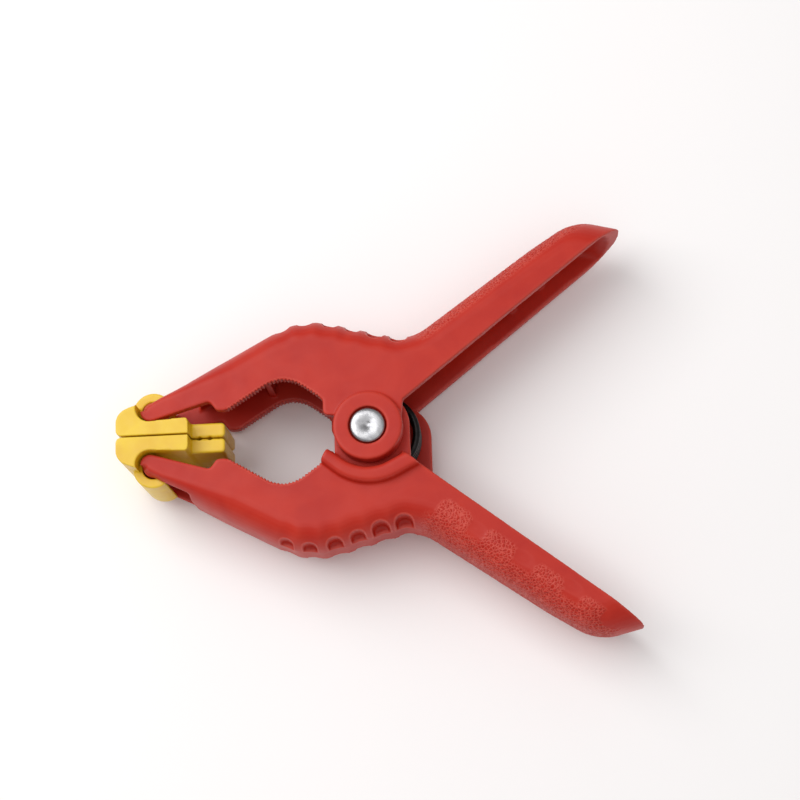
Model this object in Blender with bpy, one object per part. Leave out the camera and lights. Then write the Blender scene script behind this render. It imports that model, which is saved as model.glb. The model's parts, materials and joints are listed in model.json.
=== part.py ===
"""Spring clamp ("frame grip"), 115 mm size: two channel-shaped arms, two swivel pads, a coil spring, a pin.

The clamp lies on its side with its jaws closed. Z = 0 is the surface it rests on. The pivot axis stands on
the origin along +Z, the jaws point to -X and the handles to +X. An arm's side profile is drawn once, with Y
counted away from the plane where the jaws meet, and is mirrored for the other arm.
"""
import math

import bmesh
import bpy
from mathutils import Vector

MM = 0.001

# Driving dimensions, in millimetres.
BODY_WIDTH = 20.0          # across the two cheeks of an arm
RIM_HEIGHT = 2.0           # how far rims and bosses stand out from a cheek
MID_Z = BODY_WIDTH / 2 + RIM_HEIGHT
WALL = 2.4                 # cheeks and back wall
GAP = 0.3                  # running clearance between pieces
EDGE_RADIUS = 3.6          # rounding along an arm's back
HANDLE_ANGLE = math.radians(37.9)  # of each handle's open face, from the X axis
HANDLE_REACH = 70.0        # pivot to handle tip, along the open face
TIP_SAGITTA = 4.5          # how much shorter the handle is at its cheeks than in the middle
HANDLE_TAPER = 0.92        # handle width at its tip, as a share of the body width

BOSS_RADIUS = 7.3          # round end of an upper arm's ear
POCKET_RADIUS = 8.9        # seat around that boss in the lower arm
RIM_INNER_RADIUS = 8.7
RIM_OUTER_RADIUS = 12.3
RIM_LEFT_X = -9.7
EAR_LEFT_X, EAR_TOP_Y = -7.4, -8.0
EAR_RIGHT_X = {"near": 8.5, "far": 12.4}   # the far ear is wider, as a seat for the coil
EAR_WALL = 2.2
SPOOL_RADIUS = 5.2         # bosses that carry the coil, between the lower arm's ears

PIN_RADIUS = 2.1
PIN_HEAD_RADIUS, PIN_HEAD_HEIGHT = 3.7, 1.0
WASHER_HEIGHT = 0.8

SWIVEL_X, SWIVEL_Y = -45.8, 6.0    # pad swivel axis, Y away from the jaw plane
NOSE_RADIUS = 2.3          # of the cheeks' round ends
NOSE_ROUNDING = 2.1        # of the outline there, a little less, so that the two arcs don't meet
NOSE_BAR_RADIUS = 2.0      # of the cross bar that the pad snaps onto
FORK_DEPTH_X = -38.5       # where the back wall stops behind the nose
NOSE_EDGE_SHARE = 0.35     # of the edge rounding, left at the thin nose
RIB_WALL = 1.4
RIB_HALF_WIDTH = 8.0       # from the middle plane into each cheek
HANDLE_RIB_FOOT = 6.6      # depth behind the open face, inside the back wall
# Ribs across the handle: reach, depth of the rib's top, thickness. Across the jaw: x, lowest y, highest y.
HANDLE_RIBS = ((24.5, 5.55, 2.0), (42.6, 3.5, 1.4), (50.6, 3.5, 1.4))
JAW_RIBS = ((-33.0, 9.6, 13.6), (-22.0, 12.2, 19.8))
PAD_FRONT_X, PAD_REAR_X = -52.9, -30.5
PAD_FLANGE_REAR_X = -37.6  # behind it the pad is only as wide as the arm's hollow
PAD_FACE_Y, PAD_BACK_Y = 0.15, 3.4
PAD_WIDTH = 2 * MID_Z
HOOK_OUTER_RADIUS = 4.3

WIRE_RADIUS = 0.8
COIL_RADIUS = 8.0
COIL_OFFSET_X = 1.7        # the loaded coil leans towards the handles on its spool
COIL_TURNS = 4             # full turns, besides the part turn between the legs
COIL_PITCH = 1.78
LEG_ANGLE = math.radians(32.0)
LEG_LENGTH = 24.0

RED = (0.50, 0.040, 0.028, 1.0)
YELLOW = (0.80, 0.55, 0.03, 1.0)
BLACK = (0.015, 0.014, 0.014, 1.0)
STEEL = (0.55, 0.55, 0.56, 1.0)


def clear_scene():
    for obj in list(bpy.data.objects):
        bpy.data.objects.remove(obj, do_unlink=True)


def make_collection(name):
    collection = bpy.data.collections.new(name)
    bpy.context.scene.collection.children.link(collection)
    return collection


def make_material(name, colour, roughness, metallic=0.0):
    material = bpy.data.materials.new(name)
    material.use_nodes = True
    shader = material.node_tree.nodes["Principled BSDF"]
    shader.inputs["Base Color"].default_value = colour
    shader.inputs["Roughness"].default_value = roughness
    shader.inputs["Metallic"].default_value = metallic
    return material


def arc(centre, radius, start, end, steps):
    """Points on an arc, angles in radians, both ends included."""
    turn = (end - start) / steps
    return [
        (centre[0] + radius * math.cos(start + i * turn), centre[1] + radius * math.sin(start + i * turn))
        for i in range(steps + 1)
    ]


def rounded(corners, step=math.radians(16), owners=None):
    """The closed outline through corners (x, y, radius), each turned into an arc of its radius.

    owners, a list, takes for each point the index of the corner that it came from.
    """
    points = []
    owners = [] if owners is None else owners
    for i, (x, y, radius) in enumerate(corners):
        here = Vector((x, y))
        before = Vector(corners[i - 1][:2]) - here
        after = Vector(corners[(i + 1) % len(corners)][:2]) - here
        turn = math.pi - before.angle(after)
        if radius <= 0 or turn < 1e-3:
            points.append((x, y))
            owners.append(i)
            continue
        reach = radius * math.tan(turn / 2)
        middle = (before.normalized() + after.normalized()).normalized()
        centre = here + middle * (radius / math.cos(turn / 2))
        first = here + before.normalized() * reach - centre
        side = 1 if before.cross(after) < 0 else -1
        steps = max(2, math.ceil(turn / step))
        start = math.atan2(first.y, first.x)
        points += arc(centre, radius, start, start + side * turn, steps)
        owners += [i] * (steps + 1)
    return points


def link(mesh, name, collection, material=None):
    obj = bpy.data.objects.new(name, mesh)
    collection.objects.link(obj)
    if material:
        mesh.materials.append(material)
    return obj


def plate(name, outline, low, high, collection, side=1):
    """A flat plate of an outline, in millimetres, between two heights. side -1 mirrors it in Y."""
    curve = bpy.data.curves.new(name, "CURVE")
    curve.dimensions = "2D"
    curve.fill_mode = "BOTH"
    curve.extrude = (high - low) / 2 * MM
    spline = curve.splines.new("POLY")
    spline.points.add(len(outline) - 1)
    for point, (x, y) in zip(spline.points, outline):
        point.co = (x * MM, side * y * MM, 0, 1)
    spline.use_cyclic_u = True
    drawn = bpy.data.objects.new(name + "_curve", curve)
    collection.objects.link(drawn)
    drawn.location.z = (low + high) / 2 * MM
    bpy.context.view_layer.update()
    evaluated = drawn.evaluated_get(bpy.context.evaluated_depsgraph_get())
    mesh = bpy.data.meshes.new_from_object(evaluated)
    place = drawn.matrix_world.copy()
    bpy.data.objects.remove(drawn, do_unlink=True)
    mesh.transform(place)
    weld(mesh)
    return link(mesh, name, collection)


def weld(mesh):
    shape = bmesh.new()
    shape.from_mesh(mesh)
    bmesh.ops.remove_doubles(shape, verts=shape.verts, dist=1e-6)
    bmesh.ops.recalc_face_normals(shape, faces=shape.faces)
    shape.to_mesh(mesh)
    shape.free()


def rod(name, radius, low, high, collection, centre=(0.0, 0.0), sides=32):
    """An upright cylinder, sizes in millimetres."""
    bpy.ops.mesh.primitive_cylinder_add(
        vertices=sides, radius=radius * MM, depth=(high - low) * MM,
        location=(centre[0] * MM, centre[1] * MM, (low + high) / 2 * MM),
    )
    obj = bpy.context.active_object
    obj.name = name
    for owner in list(obj.users_collection):
        owner.objects.unlink(obj)
    collection.objects.link(obj)
    return obj


def combine(target, others, operation):
    """Applies a Boolean with each of others in turn, then hides them as guides."""
    for other in others:
        cut = target.modifiers.new(operation.lower() + "_" + other.name, "BOOLEAN")
        cut.operation = operation
        cut.solver = "EXACT"
        cut.object = other
        other.hide_render = True
        other.display_type = "WIRE"


def loft(name, sections, collection):
    """A closed solid through sections of equal point count, each a list of (x, y, z) in millimetres."""
    shape = bmesh.new()
    rings = [[shape.verts.new((x * MM, y * MM, z * MM)) for x, y, z in ring] for ring in sections]
    count = len(rings[0])
    for lower, upper in zip(rings, rings[1:]):
        for i in range(count):
            j = (i + 1) % count
            shape.faces.new((lower[i], lower[j], upper[j], upper[i]))
    bmesh.ops.triangulate(shape, faces=shape.faces)
    shape.faces.new(reversed(rings[0]))
    shape.faces.new(rings[-1])
    bmesh.ops.recalc_face_normals(shape, faces=shape.faces)
    mesh = bpy.data.meshes.new(name)
    shape.to_mesh(mesh)
    shape.free()
    return link(mesh, name, collection)


def on_open_face(reach, depth=0.0):
    """The point at a reach from the pivot along the handle's open face, and a depth behind it."""
    return (
        reach * math.cos(HANDLE_ANGLE) - depth * math.sin(HANDLE_ANGLE),
        reach * math.sin(HANDLE_ANGLE) + depth * math.cos(HANDLE_ANGLE),
    )


# An arm's outer back, from the nose over the hump to the handle tip, as corners (x, y, radius).
BACK_CORNERS = [
    (-48.1, 7.4, NOSE_ROUNDING),
    (FORK_DEPTH_X, 12.6, 0.0),
    (-14.0, 25.75, 16.0),
    (9.2, 19.5, 9.0),
    (45.5, 45.3, 11.0),
    (*on_open_face(HANDLE_REACH), 0.0),
]
# The cheek's inner edge from the throat to the nose.
JAW_CORNERS = [
    (-17.6, 12.4, 7.0),
    (-29.3, 5.2, 1.2),
    (-31.9, 5.2, 1.0),
    (-33.4, 7.3, 1.0),
    (-48.1, 2.9, NOSE_ROUNDING),
]
# Between handle and throat the two arms differ: the upper one runs down to its round ear.
UPPER_PIVOT_CORNERS = [(*on_open_face(9.3), 0.0), (7.0, 1.2, 0.8), (-9.4, 3.2, 1.0), (-9.4, 6.4, 0.8)]
LOWER_PIVOT_CORNERS = [(*on_open_face(8.0), 0.0), (-9.4, 4.7, 0.3), (-9.4, 6.5, 0.8)]


def rounding_levels(radius, half_width, steps):
    """Pairs (offset from the middle plane, inset of the back) that round both edges of the back."""
    lower = []
    for i in range(steps + 1):
        angle = math.pi / 2 * i / steps
        lower.append((-half_width + radius * (1 - math.cos(angle)), radius * (1 - math.sin(angle))))
    flat = (half_width - radius) / 2
    middle = [(-flat, 0.0), (0.0, 0.0), (flat, 0.0)]
    return lower + middle + [(-offset, inset) for offset, inset in reversed(lower)]


def taper_in_plan(x, y, offset):
    """A profile point moved for its offset from the middle plane: the handle tapers and its tip is round."""
    bend_radius = ((BODY_WIDTH / 2) ** 2 + TIP_SAGITTA ** 2) / (2 * TIP_SAGITTA)
    retreat = bend_radius - math.sqrt(bend_radius ** 2 - offset ** 2)
    reach = x * math.cos(HANDLE_ANGLE) + y * math.sin(HANDLE_ANGLE)
    share = min(max((reach - 42.0) / (HANDLE_REACH - 42.0), 0.0), 1.0) ** 2
    slim = 1.0 - (1.0 - HANDLE_TAPER) * min(max((reach - 15.0) / 40.0, 0.0), 1.0)
    back = retreat * share
    return x - back * math.cos(HANDLE_ANGLE), y - back * math.sin(HANDLE_ANGLE), MID_Z + offset * slim


def drawn_in(points, i, inset):
    """Back point i moved into the arm by inset, square to the back."""
    (x0, y0), (x1, y1) = points[max(i - 1, 0)], points[i + 1]
    length = math.hypot(x1 - x0, y1 - y0)
    return points[i][0] + (y1 - y0) / length * inset, points[i][1] - (x1 - x0) / length * inset


def back_at(points, inset, rounding):
    """The back's points drawn in by a wall and by an edge rounding, which is weaker at the nose."""
    moved = []
    for i in range(len(points) - 1):
        share = min(max((points[i][0] + 44.0) / 14.0, 0.0), 1.0)
        edge = rounding * (NOSE_EDGE_SHARE + (1 - NOSE_EDGE_SHARE) * share)
        moved.append(drawn_in(points, i, inset + edge))
    tip_slope = math.atan2(points[-2][1] - points[-1][1], points[-1][0] - points[-2][0])
    moved.append(on_open_face(HANDLE_REACH - (inset + rounding) / math.sin(HANDLE_ANGLE + tip_slope)))
    return moved


def arm_profile(pivot_corners):
    """The arm's outline as its back points and the points of its inner edge."""
    owners = []
    points = rounded(BACK_CORNERS + pivot_corners + JAW_CORNERS, owners=owners)
    back = [point for point, owner in zip(points, owners) if owner < len(BACK_CORNERS)]
    return back, points[len(back):]


def arm_solid(name, pivot_corners, side, collection):
    """The arm's outer form, solid, with a rounded back."""
    back, inner = arm_profile(pivot_corners)
    sections = []
    for offset, rounding in rounding_levels(EDGE_RADIUS, BODY_WIDTH / 2, 4):
        outline = back_at(back, 0.0, rounding) + inner
        placed = [taper_in_plan(x, y, offset) for x, y in outline]
        sections.append([(x, side * y, z) for x, y, z in placed])
    return loft(name, sections, collection)


def channel(name, side, collection):
    """The hollow of an arm, which opens on its inner side and, at the forked nose, on its back too."""
    back, _ = arm_profile(UPPER_PIVOT_CORNERS)
    first = next(i for i, point in enumerate(back) if point[0] >= FORK_DEPTH_X)
    sections = []
    for offset, rounding in rounding_levels(1.2, BODY_WIDTH / 2 - WALL, 2):
        wall = back_at(back, WALL, rounding)[first:]
        tip_reach = math.hypot(*wall[-1])
        outside = [
            on_open_face(tip_reach, -8.0), (14.0, -4.0), (-55.0, -4.0), (-55.0, 22.0), (FORK_DEPTH_X, 22.0),
        ]
        placed = [taper_in_plan(x, y, offset) for x, y in wall + outside]
        sections.append([(x, side * y, z) for x, y, z in placed])
    return loft(name, sections, collection)


def box(name, low, high, side, collection):
    """An upright box between two corners in millimetres, its Y mirrored for the lower arm."""
    outline = [(low[0], low[1]), (high[0], low[1]), (high[0], high[1]), (low[0], high[1])]
    return plate(name, outline, low[2], high[2], collection, side)


def ribs(prefix, side, collection):
    """The cross ribs between an arm's cheeks. The first one in the handle seats a leg of the spring."""
    low, high = MID_Z - RIB_HALF_WIDTH, MID_Z + RIB_HALF_WIDTH
    made = []
    for number, (reach, top, thickness) in enumerate(HANDLE_RIBS, 1):
        half = thickness / 2
        outline = [
            on_open_face(reach - half, top), on_open_face(reach + half, top),
            on_open_face(reach + half, HANDLE_RIB_FOOT), on_open_face(reach - half, HANDLE_RIB_FOOT),
        ]
        made.append(plate(f"{prefix}_handle_rib_{number}", outline, low, high, collection, side))
    for number, (x, bottom, top) in enumerate(JAW_RIBS, 1):
        first, last = (x - RIB_WALL / 2, bottom, low), (x + RIB_WALL / 2, top, high)
        made.append(box(f"{prefix}_jaw_rib_{number}", first, last, side, collection))
    return made


def hollow_arm(name, pivot_corners, side, parts, guides):
    """An arm with its channel, forked nose, cross bar and ribs, before the pivot is made."""
    arm = arm_solid(name, pivot_corners, side, parts)
    low, high = MID_Z - BODY_WIDTH / 2 + WALL, MID_Z + BODY_WIDTH / 2 - WALL
    combine(arm, [channel(name + "_channel", side, guides)], "DIFFERENCE")
    swivel = (SWIVEL_X, side * SWIVEL_Y)
    bar = rod(name + "_nose_bar", NOSE_BAR_RADIUS, low - 0.6, high + 0.6, guides, swivel, 24)
    combine(arm, [bar] + ribs(name, side, guides), "UNION")
    return arm


def build_upper_arm(parts, guides):
    """The arm with the outer ears: a round boss on each cheek, level with the lower arm's rims."""
    arm = hollow_arm("upper_arm", UPPER_PIVOT_CORNERS, 1, parts, guides)
    depth = RIM_HEIGHT + WALL - 0.1
    far = rod("upper_far_boss", BOSS_RADIUS, 0.0, depth, guides, sides=48)
    near = rod("upper_near_boss", BOSS_RADIUS, PAD_WIDTH - depth, PAD_WIDTH, guides, sides=48)
    combine(arm, [far, near], "UNION")
    seat = PIN_HEAD_HEIGHT + GAP
    cuts = [
        rod("upper_bore", PIN_RADIUS + GAP, -1.0, PAD_WIDTH + 1.0, guides),
        rod("upper_far_counterbore", PIN_HEAD_RADIUS + GAP, -1.0, seat, guides),
        rod("upper_near_counterbore", PIN_HEAD_RADIUS + GAP, PAD_WIDTH - seat, PAD_WIDTH + 1.0, guides),
    ]
    combine(arm, cuts, "DIFFERENCE")
    return arm


def rim_outline():
    """The raised U-shaped rim around the seat, cut off in line with the handle and the throat."""
    left, right = math.radians(37.0), math.radians(27.0)
    slope = math.tan(HANDLE_ANGLE)

    def corner(radius):
        """Where the two straight ends, tangent to a radius about the pivot, would meet."""
        rise_left, rise_right = radius / math.cos(left), radius / math.cos(right)
        x = (rise_right - rise_left) / (math.tan(left) + math.tan(right))
        return x, rise_left + math.tan(left) * x

    def right_end(radius):
        behind = 0.15 / math.cos(HANDLE_ANGLE)
        x = (radius / math.cos(right) - behind) / (slope + math.tan(right))
        return x, slope * x + behind, 0.0

    def left_end(radius):
        return RIM_LEFT_X, radius / math.cos(left) + math.tan(left) * RIM_LEFT_X, 0.0

    return rounded([
        right_end(RIM_INNER_RADIUS),
        (*corner(RIM_INNER_RADIUS), RIM_INNER_RADIUS),
        left_end(RIM_INNER_RADIUS),
        left_end(RIM_OUTER_RADIUS - 0.8),
        (*corner(RIM_OUTER_RADIUS), RIM_OUTER_RADIUS),
        right_end(RIM_OUTER_RADIUS),
    ])


def ear_outline(right_x):
    """An inner ear of the lower arm: round over the pivot, and reaching under the rim."""
    return rounded([
        (EAR_LEFT_X, EAR_TOP_Y, 7.0), (EAR_LEFT_X, 8.6, 0.0), (-2.0, 12.0, 0.0),
        (4.0, 11.2, 0.0), (right_x, right_x * 0.82, 0.0), (right_x, EAR_TOP_Y, 7.0),
    ])


def build_lower_arm(parts, guides):
    """The arm with the inner ears: each lies in a round pocket with a raised rim, under the other arm's boss."""
    arm = hollow_arm("lower_arm", LOWER_PIVOT_CORNERS, -1, parts, guides)
    ear_low = RIM_HEIGHT + WALL + GAP
    ear_high = ear_low + EAR_WALL
    pockets = [
        rod("lower_far_pocket", POCKET_RADIUS, -1.0, ear_low, guides, sides=48),
        rod("lower_near_pocket", POCKET_RADIUS, PAD_WIDTH - ear_low, PAD_WIDTH + 1.0, guides, sides=48),
    ]
    combine(arm, pockets, "DIFFERENCE")
    rim = rim_outline()
    far_ear, near_ear = ear_outline(EAR_RIGHT_X["far"]), ear_outline(EAR_RIGHT_X["near"])
    joined = [
        plate("lower_far_rim", rim, 0.0, ear_high - 0.3, guides, -1),
        plate("lower_near_rim", rim, PAD_WIDTH - ear_high + 0.3, PAD_WIDTH, guides, -1),
        plate("lower_far_ear", far_ear, ear_low, ear_high, guides, -1),
        plate("lower_near_ear", near_ear, PAD_WIDTH - ear_high, PAD_WIDTH - ear_low, guides, -1),
        rod("lower_far_spool", SPOOL_RADIUS, ear_high - 0.5, MID_Z - 0.2, guides),
        rod("lower_near_spool", SPOOL_RADIUS, MID_Z + 0.2, PAD_WIDTH - ear_high + 0.5, guides),
    ]
    combine(arm, joined, "UNION")
    combine(arm, [rod("lower_bore", PIN_RADIUS + GAP, -1.0, PAD_WIDTH + 1.0, guides)], "DIFFERENCE")
    return arm


def build_pad(name, side, parts, guides):
    """A jaw pad: a full-width bar with a round toe, a narrower tail behind it between the arm's cheeks, and a
    hook inside the fork that snaps round the nose bar."""
    centre = (SWIVEL_X, SWIVEL_Y)
    seat = NOSE_BAR_RADIUS + GAP
    toe_seat = NOSE_RADIUS + 2 * GAP
    recess = arc(centre, toe_seat, math.radians(-90), math.radians(-197), 8)
    bar = rounded([
        (PAD_FLANGE_REAR_X, PAD_BACK_Y, 0.8), (PAD_FLANGE_REAR_X, PAD_FACE_Y, 0.0),
        (PAD_FRONT_X, PAD_FACE_Y, 1.2), (PAD_FRONT_X, 5.2, 3.4), (-49.2, 6.6, 0.5),
    ]) + list(reversed(recess))
    pad = plate(name, bar, 0.0, PAD_WIDTH, parts, side)
    outer = arc(centre, HOOK_OUTER_RADIUS, math.radians(-150), math.radians(-310), 12)
    inner = arc(centre, seat, math.radians(-310), math.radians(-90), 14)
    hook = outer + inner + [(SWIVEL_X, PAD_FACE_Y + 1.5), (-50.5, PAD_FACE_Y + 1.5)]
    low = MID_Z - BODY_WIDTH / 2 + WALL + GAP
    tail = rounded([
        (PAD_REAR_X, PAD_BACK_Y - 0.2, 0.8), (PAD_REAR_X, PAD_FACE_Y, 0.8),
        (PAD_FLANGE_REAR_X - 2.0, PAD_FACE_Y, 0.0), (PAD_FLANGE_REAR_X - 2.0, PAD_BACK_Y - 0.2, 0.0),
    ])
    joined = [
        plate(name + "_hook", hook, low, PAD_WIDTH - low, guides, side),
        plate(name + "_tail", tail, low + GAP / 3, PAD_WIDTH - low - GAP / 3, guides, side),
    ]
    combine(pad, joined, "UNION")
    return pad


def build_spring(parts):
    """The torsion spring: a close coil round the spool, with a leg along each handle's channel."""
    height = COIL_PITCH * (COIL_TURNS + 0.5)
    lower_start = -(math.pi / 2 + LEG_ANGLE)
    sweep = -(2 * math.pi * COIL_TURNS + (math.pi - 2 * LEG_ANGLE))
    steps = 24 * COIL_TURNS + 12
    centre_x = COIL_OFFSET_X
    points = []
    for i in range(steps + 1):
        share = i / steps
        angle = lower_start + sweep * share
        z = MID_Z - height / 2 + height * share
        points.append((centre_x + COIL_RADIUS * math.cos(angle), COIL_RADIUS * math.sin(angle), z))

    def leg(base, side):
        x, y, z = base
        run, rise = LEG_LENGTH * math.cos(LEG_ANGLE), side * LEG_LENGTH * math.sin(LEG_ANGLE)
        return [(x + share * run, y + share * rise, z) for share in (0.35, 0.7, 1.0)]

    route = list(reversed(leg(points[0], -1))) + points + leg(points[-1], 1)
    curve = bpy.data.curves.new("torsion_spring", "CURVE")
    curve.dimensions = "3D"
    curve.bevel_depth = WIRE_RADIUS * MM
    curve.bevel_resolution = 2
    curve.use_fill_caps = True
    spline = curve.splines.new("POLY")
    spline.points.add(len(route) - 1)
    for point, (x, y, z) in zip(spline.points, route):
        point.co = (x * MM, y * MM, z * MM, 1)
    spring = bpy.data.objects.new("torsion_spring", curve)
    parts.objects.link(spring)
    return spring


def build_pin(parts, guides):
    """The steel pin, its head sunk in the near boss, its plain end level with the far one."""
    pin = rod("pivot_pin", PIN_RADIUS, 0.0, PAD_WIDTH, parts)
    head = rod("pin_head", PIN_HEAD_RADIUS, PAD_WIDTH - PIN_HEAD_HEIGHT, PAD_WIDTH, guides)
    combine(pin, [head], "UNION")
    return pin


def build_washer(parts, guides):
    """The push-on washer that keeps the pin in, sunk in the far boss."""
    washer = rod("retaining_washer", PIN_HEAD_RADIUS, GAP / 2, GAP / 2 + WASHER_HEIGHT, parts)
    combine(washer, [rod("washer_hole", PIN_RADIUS + GAP, -1.0, 3.0, guides)], "DIFFERENCE")
    return washer


def hinge_at(name, x, y, children, collection):
    """An empty on a joint's axis, to which the moving pieces are parented."""
    hinge = bpy.data.objects.new(name, None)
    hinge.location = (x * MM, y * MM, MID_Z * MM)
    hinge.empty_display_size = 0.01
    collection.objects.link(hinge)
    bpy.context.view_layer.update()
    for child in children:
        child.parent = hinge
        child.matrix_parent_inverse = hinge.matrix_world.inverted()
    return hinge


def main():
    clear_scene()
    parts = make_collection("frame_grip")
    guides = make_collection("guides")
    red = make_material("red_nylon", RED, 0.42)
    yellow = make_material("yellow_plastic", YELLOW, 0.38)
    black = make_material("black_spring_steel", BLACK, 0.35, 1.0)
    steel = make_material("plated_steel", STEEL, 0.3, 1.0)

    lower = build_lower_arm(parts, guides)
    upper = build_upper_arm(parts, guides)
    lower_pad = build_pad("lower_jaw_pad", -1, parts, guides)
    upper_pad = build_pad("upper_jaw_pad", 1, parts, guides)
    spring = build_spring(parts)
    pin = build_pin(parts, guides)
    washer = build_washer(parts, guides)
    finishes = {red: [lower, upper], yellow: [lower_pad, upper_pad], black: [spring], steel: [pin, washer]}
    for finish, pieces in finishes.items():
        for piece in pieces:
            piece.data.materials.clear()
            piece.data.materials.append(finish)
            if piece.type == "MESH":
                piece.data.shade_smooth()
                piece.data.set_sharp_from_angle(angle=math.radians(35))

    upper_swivel = hinge_at("upper_pad_swivel", SWIVEL_X, SWIVEL_Y, [upper_pad], parts)
    hinge_at("lower_pad_swivel", SWIVEL_X, -SWIVEL_Y, [lower_pad], parts)
    hinge_at("arm_pivot", 0.0, 0.0, [upper, upper_swivel], parts)


main()
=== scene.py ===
"""The looks of a nylon spring clamp: arms, jaw pads, coil spring, pin and washer, in a plain pale studio.

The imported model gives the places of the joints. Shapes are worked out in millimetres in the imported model's
frame: the clamp lies on its side on Z = 0, the pivot axis stands on the origin, the jaws point to -X and the
handles to +X. An arm's profile is drawn once, with Y counted outward from the plane where the jaws meet, and
is mirrored for the lower arm.
"""
import json
import logging
import math
from dataclasses import dataclass
from enum import Enum
from typing import Iterable, Sequence

import bmesh
import bpy
import numpy as np
from mathutils import Matrix, Vector, noise


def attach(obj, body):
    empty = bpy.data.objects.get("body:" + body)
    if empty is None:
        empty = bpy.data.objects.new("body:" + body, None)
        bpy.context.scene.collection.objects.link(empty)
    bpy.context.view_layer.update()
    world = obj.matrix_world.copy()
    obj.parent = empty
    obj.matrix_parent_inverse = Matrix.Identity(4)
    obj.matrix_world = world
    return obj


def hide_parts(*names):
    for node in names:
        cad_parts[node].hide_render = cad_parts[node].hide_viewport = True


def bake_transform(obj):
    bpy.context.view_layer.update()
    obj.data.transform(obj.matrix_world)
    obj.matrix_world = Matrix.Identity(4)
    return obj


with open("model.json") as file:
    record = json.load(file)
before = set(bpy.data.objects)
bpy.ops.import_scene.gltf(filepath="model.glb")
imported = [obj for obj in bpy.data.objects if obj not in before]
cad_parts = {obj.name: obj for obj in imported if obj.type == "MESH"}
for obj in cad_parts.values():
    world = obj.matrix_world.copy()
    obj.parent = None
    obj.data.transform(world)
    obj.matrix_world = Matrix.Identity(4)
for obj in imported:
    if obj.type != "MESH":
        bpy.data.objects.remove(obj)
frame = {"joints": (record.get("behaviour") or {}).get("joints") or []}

LOG = logging.getLogger("spring_clamp")
MM = 0.001
Point = tuple[float, float]
# A place in space.
Place = tuple[float, float, float]
# A corner of an outline: x, y and the radius that rounds it.
Corner = tuple[float, float, float]
Colour = tuple[float, float, float, float]


class Side(Enum):
    """Which side of the jaw plane an arm or pad lies on, as the sign of its Y."""

    UPPER = 1
    LOWER = -1


class Slot(Enum):
    """The record's material slots."""

    NYLON = "red_nylon"
    PAD = "yellow_plastic"
    SPRING = "black_spring_steel"
    STEEL = "plated_steel"


def joint_centre(name: str) -> Vector:
    """Where a joint's axis passes, in millimetres.

    Args:
        name: the joint's name in the record.

    Returns:
        The point on its axis.
    """
    joint = next(joint for joint in frame["joints"] if joint["name"] == name)
    return Vector(joint["pos_m"]) / MM


PIVOT = joint_centre("arm_pivot")
SWIVEL = joint_centre("upper_pad_swivel")
MID_Z = PIVOT.z
TOP_Z = 2 * MID_Z
# A corner that turns less than this, in radians, is left as a point.
LEAST_TURN = 1e-3
LEAST_CHORDS = 3
# Points of a turned solid that lie closer than this are one point.
WELD_DISTANCE = 1e-4
# How far a cutter stands out of what it cuts.
CLEAR = 1.0


# ----------------------------------------------------------------------------------------------------
# Outlines


def arc(centre: Point, radius: float, start: float, end: float, steps: int) -> list[Point]:
    """Points on an arc, both ends included.

    Args:
        centre: the arc's centre.
        radius: its radius.
        start: its first angle, in radians.
        end: its last angle.
        steps: how many chords it has.

    Returns:
        The points from start to end.
    """
    turn = (end - start) / steps
    return [
        (centre[0] + radius * math.cos(start + i * turn), centre[1] + radius * math.sin(start + i * turn))
        for i in range(steps + 1)
    ]


def rounded(
    corners: Sequence[Corner], owners: list[int] | None = None, step: float = math.radians(6)
) -> list[Point]:
    """The closed outline through corners, each turned into an arc of its own radius.

    Args:
        corners: x, y and radius of each corner.
        owners: a list that takes, for each point, the index of the corner that it came from.
        step: the largest turn of one chord, in radians.

    Returns:
        The outline's points.
    """
    points: list[Point] = []
    owners = [] if owners is None else owners
    for i, (x, y, radius) in enumerate(corners):
        here = Vector((x, y))
        before = Vector(corners[i - 1][:2]) - here
        after = Vector(corners[(i + 1) % len(corners)][:2]) - here
        turn = math.pi - before.angle(after)
        if radius <= 0 or turn < LEAST_TURN:
            points.append((x, y))
            owners.append(i)
            continue
        middle = (before.normalized() + after.normalized()).normalized()
        centre = here + middle * (radius / math.cos(turn / 2))
        first = here + before.normalized() * radius * math.tan(turn / 2) - centre
        way = 1 if before.cross(after) < 0 else -1
        steps = max(LEAST_CHORDS, math.ceil(turn / step))
        start = math.atan2(first.y, first.x)
        points += arc(centre, radius, start, start + way * turn, steps)
        owners += [i] * (steps + 1)
    return points


def run_along(line: np.ndarray) -> np.ndarray:
    """How far along an open line each of its points lies."""
    return np.concatenate([[0.0], np.cumsum(np.linalg.norm(np.diff(line, axis=0), axis=1))])


def respaced(points: Sequence[Point], count: int) -> np.ndarray:
    """Points at an even spacing along an open line, its ends kept.

    Args:
        points: the line's corners.
        count: how many new points there are.

    Returns:
        An array of the new points.
    """
    line = np.array(points)
    runs = run_along(line)
    places = np.linspace(0.0, runs[-1], count)
    return np.stack([np.interp(places, runs, line[:, k]) for k in (0, 1)], axis=1)


def spaced(points: Sequence[Point], spacing: float) -> np.ndarray:
    """Points about a spacing apart along an open line, its ends kept."""
    length = run_along(np.array(points))[-1]
    return respaced(points, max(2, round(length / spacing)) + 1)


def line_normals(line: np.ndarray) -> np.ndarray:
    """Unit normals to the right of an open line, which is into the arm for a back drawn from the nose.

    Args:
        line: the line's points.

    Returns:
        A normal for each point.
    """
    slope = np.gradient(line, axis=0)
    slope /= np.linalg.norm(slope, axis=1)[:, None]
    return np.stack([slope[:, 1], -slope[:, 0]], axis=1)


# ----------------------------------------------------------------------------------------------------
# Solids


def put_in_scene(name: str, mesh: bpy.types.Mesh) -> bpy.types.Object:
    """Makes an object of a mesh and links it to the scene.

    Args:
        name: the object's name.
        mesh: its mesh.

    Returns:
        The object.
    """
    obj = bpy.data.objects.new(name, mesh)
    bpy.context.scene.collection.objects.link(obj)
    return obj


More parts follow.
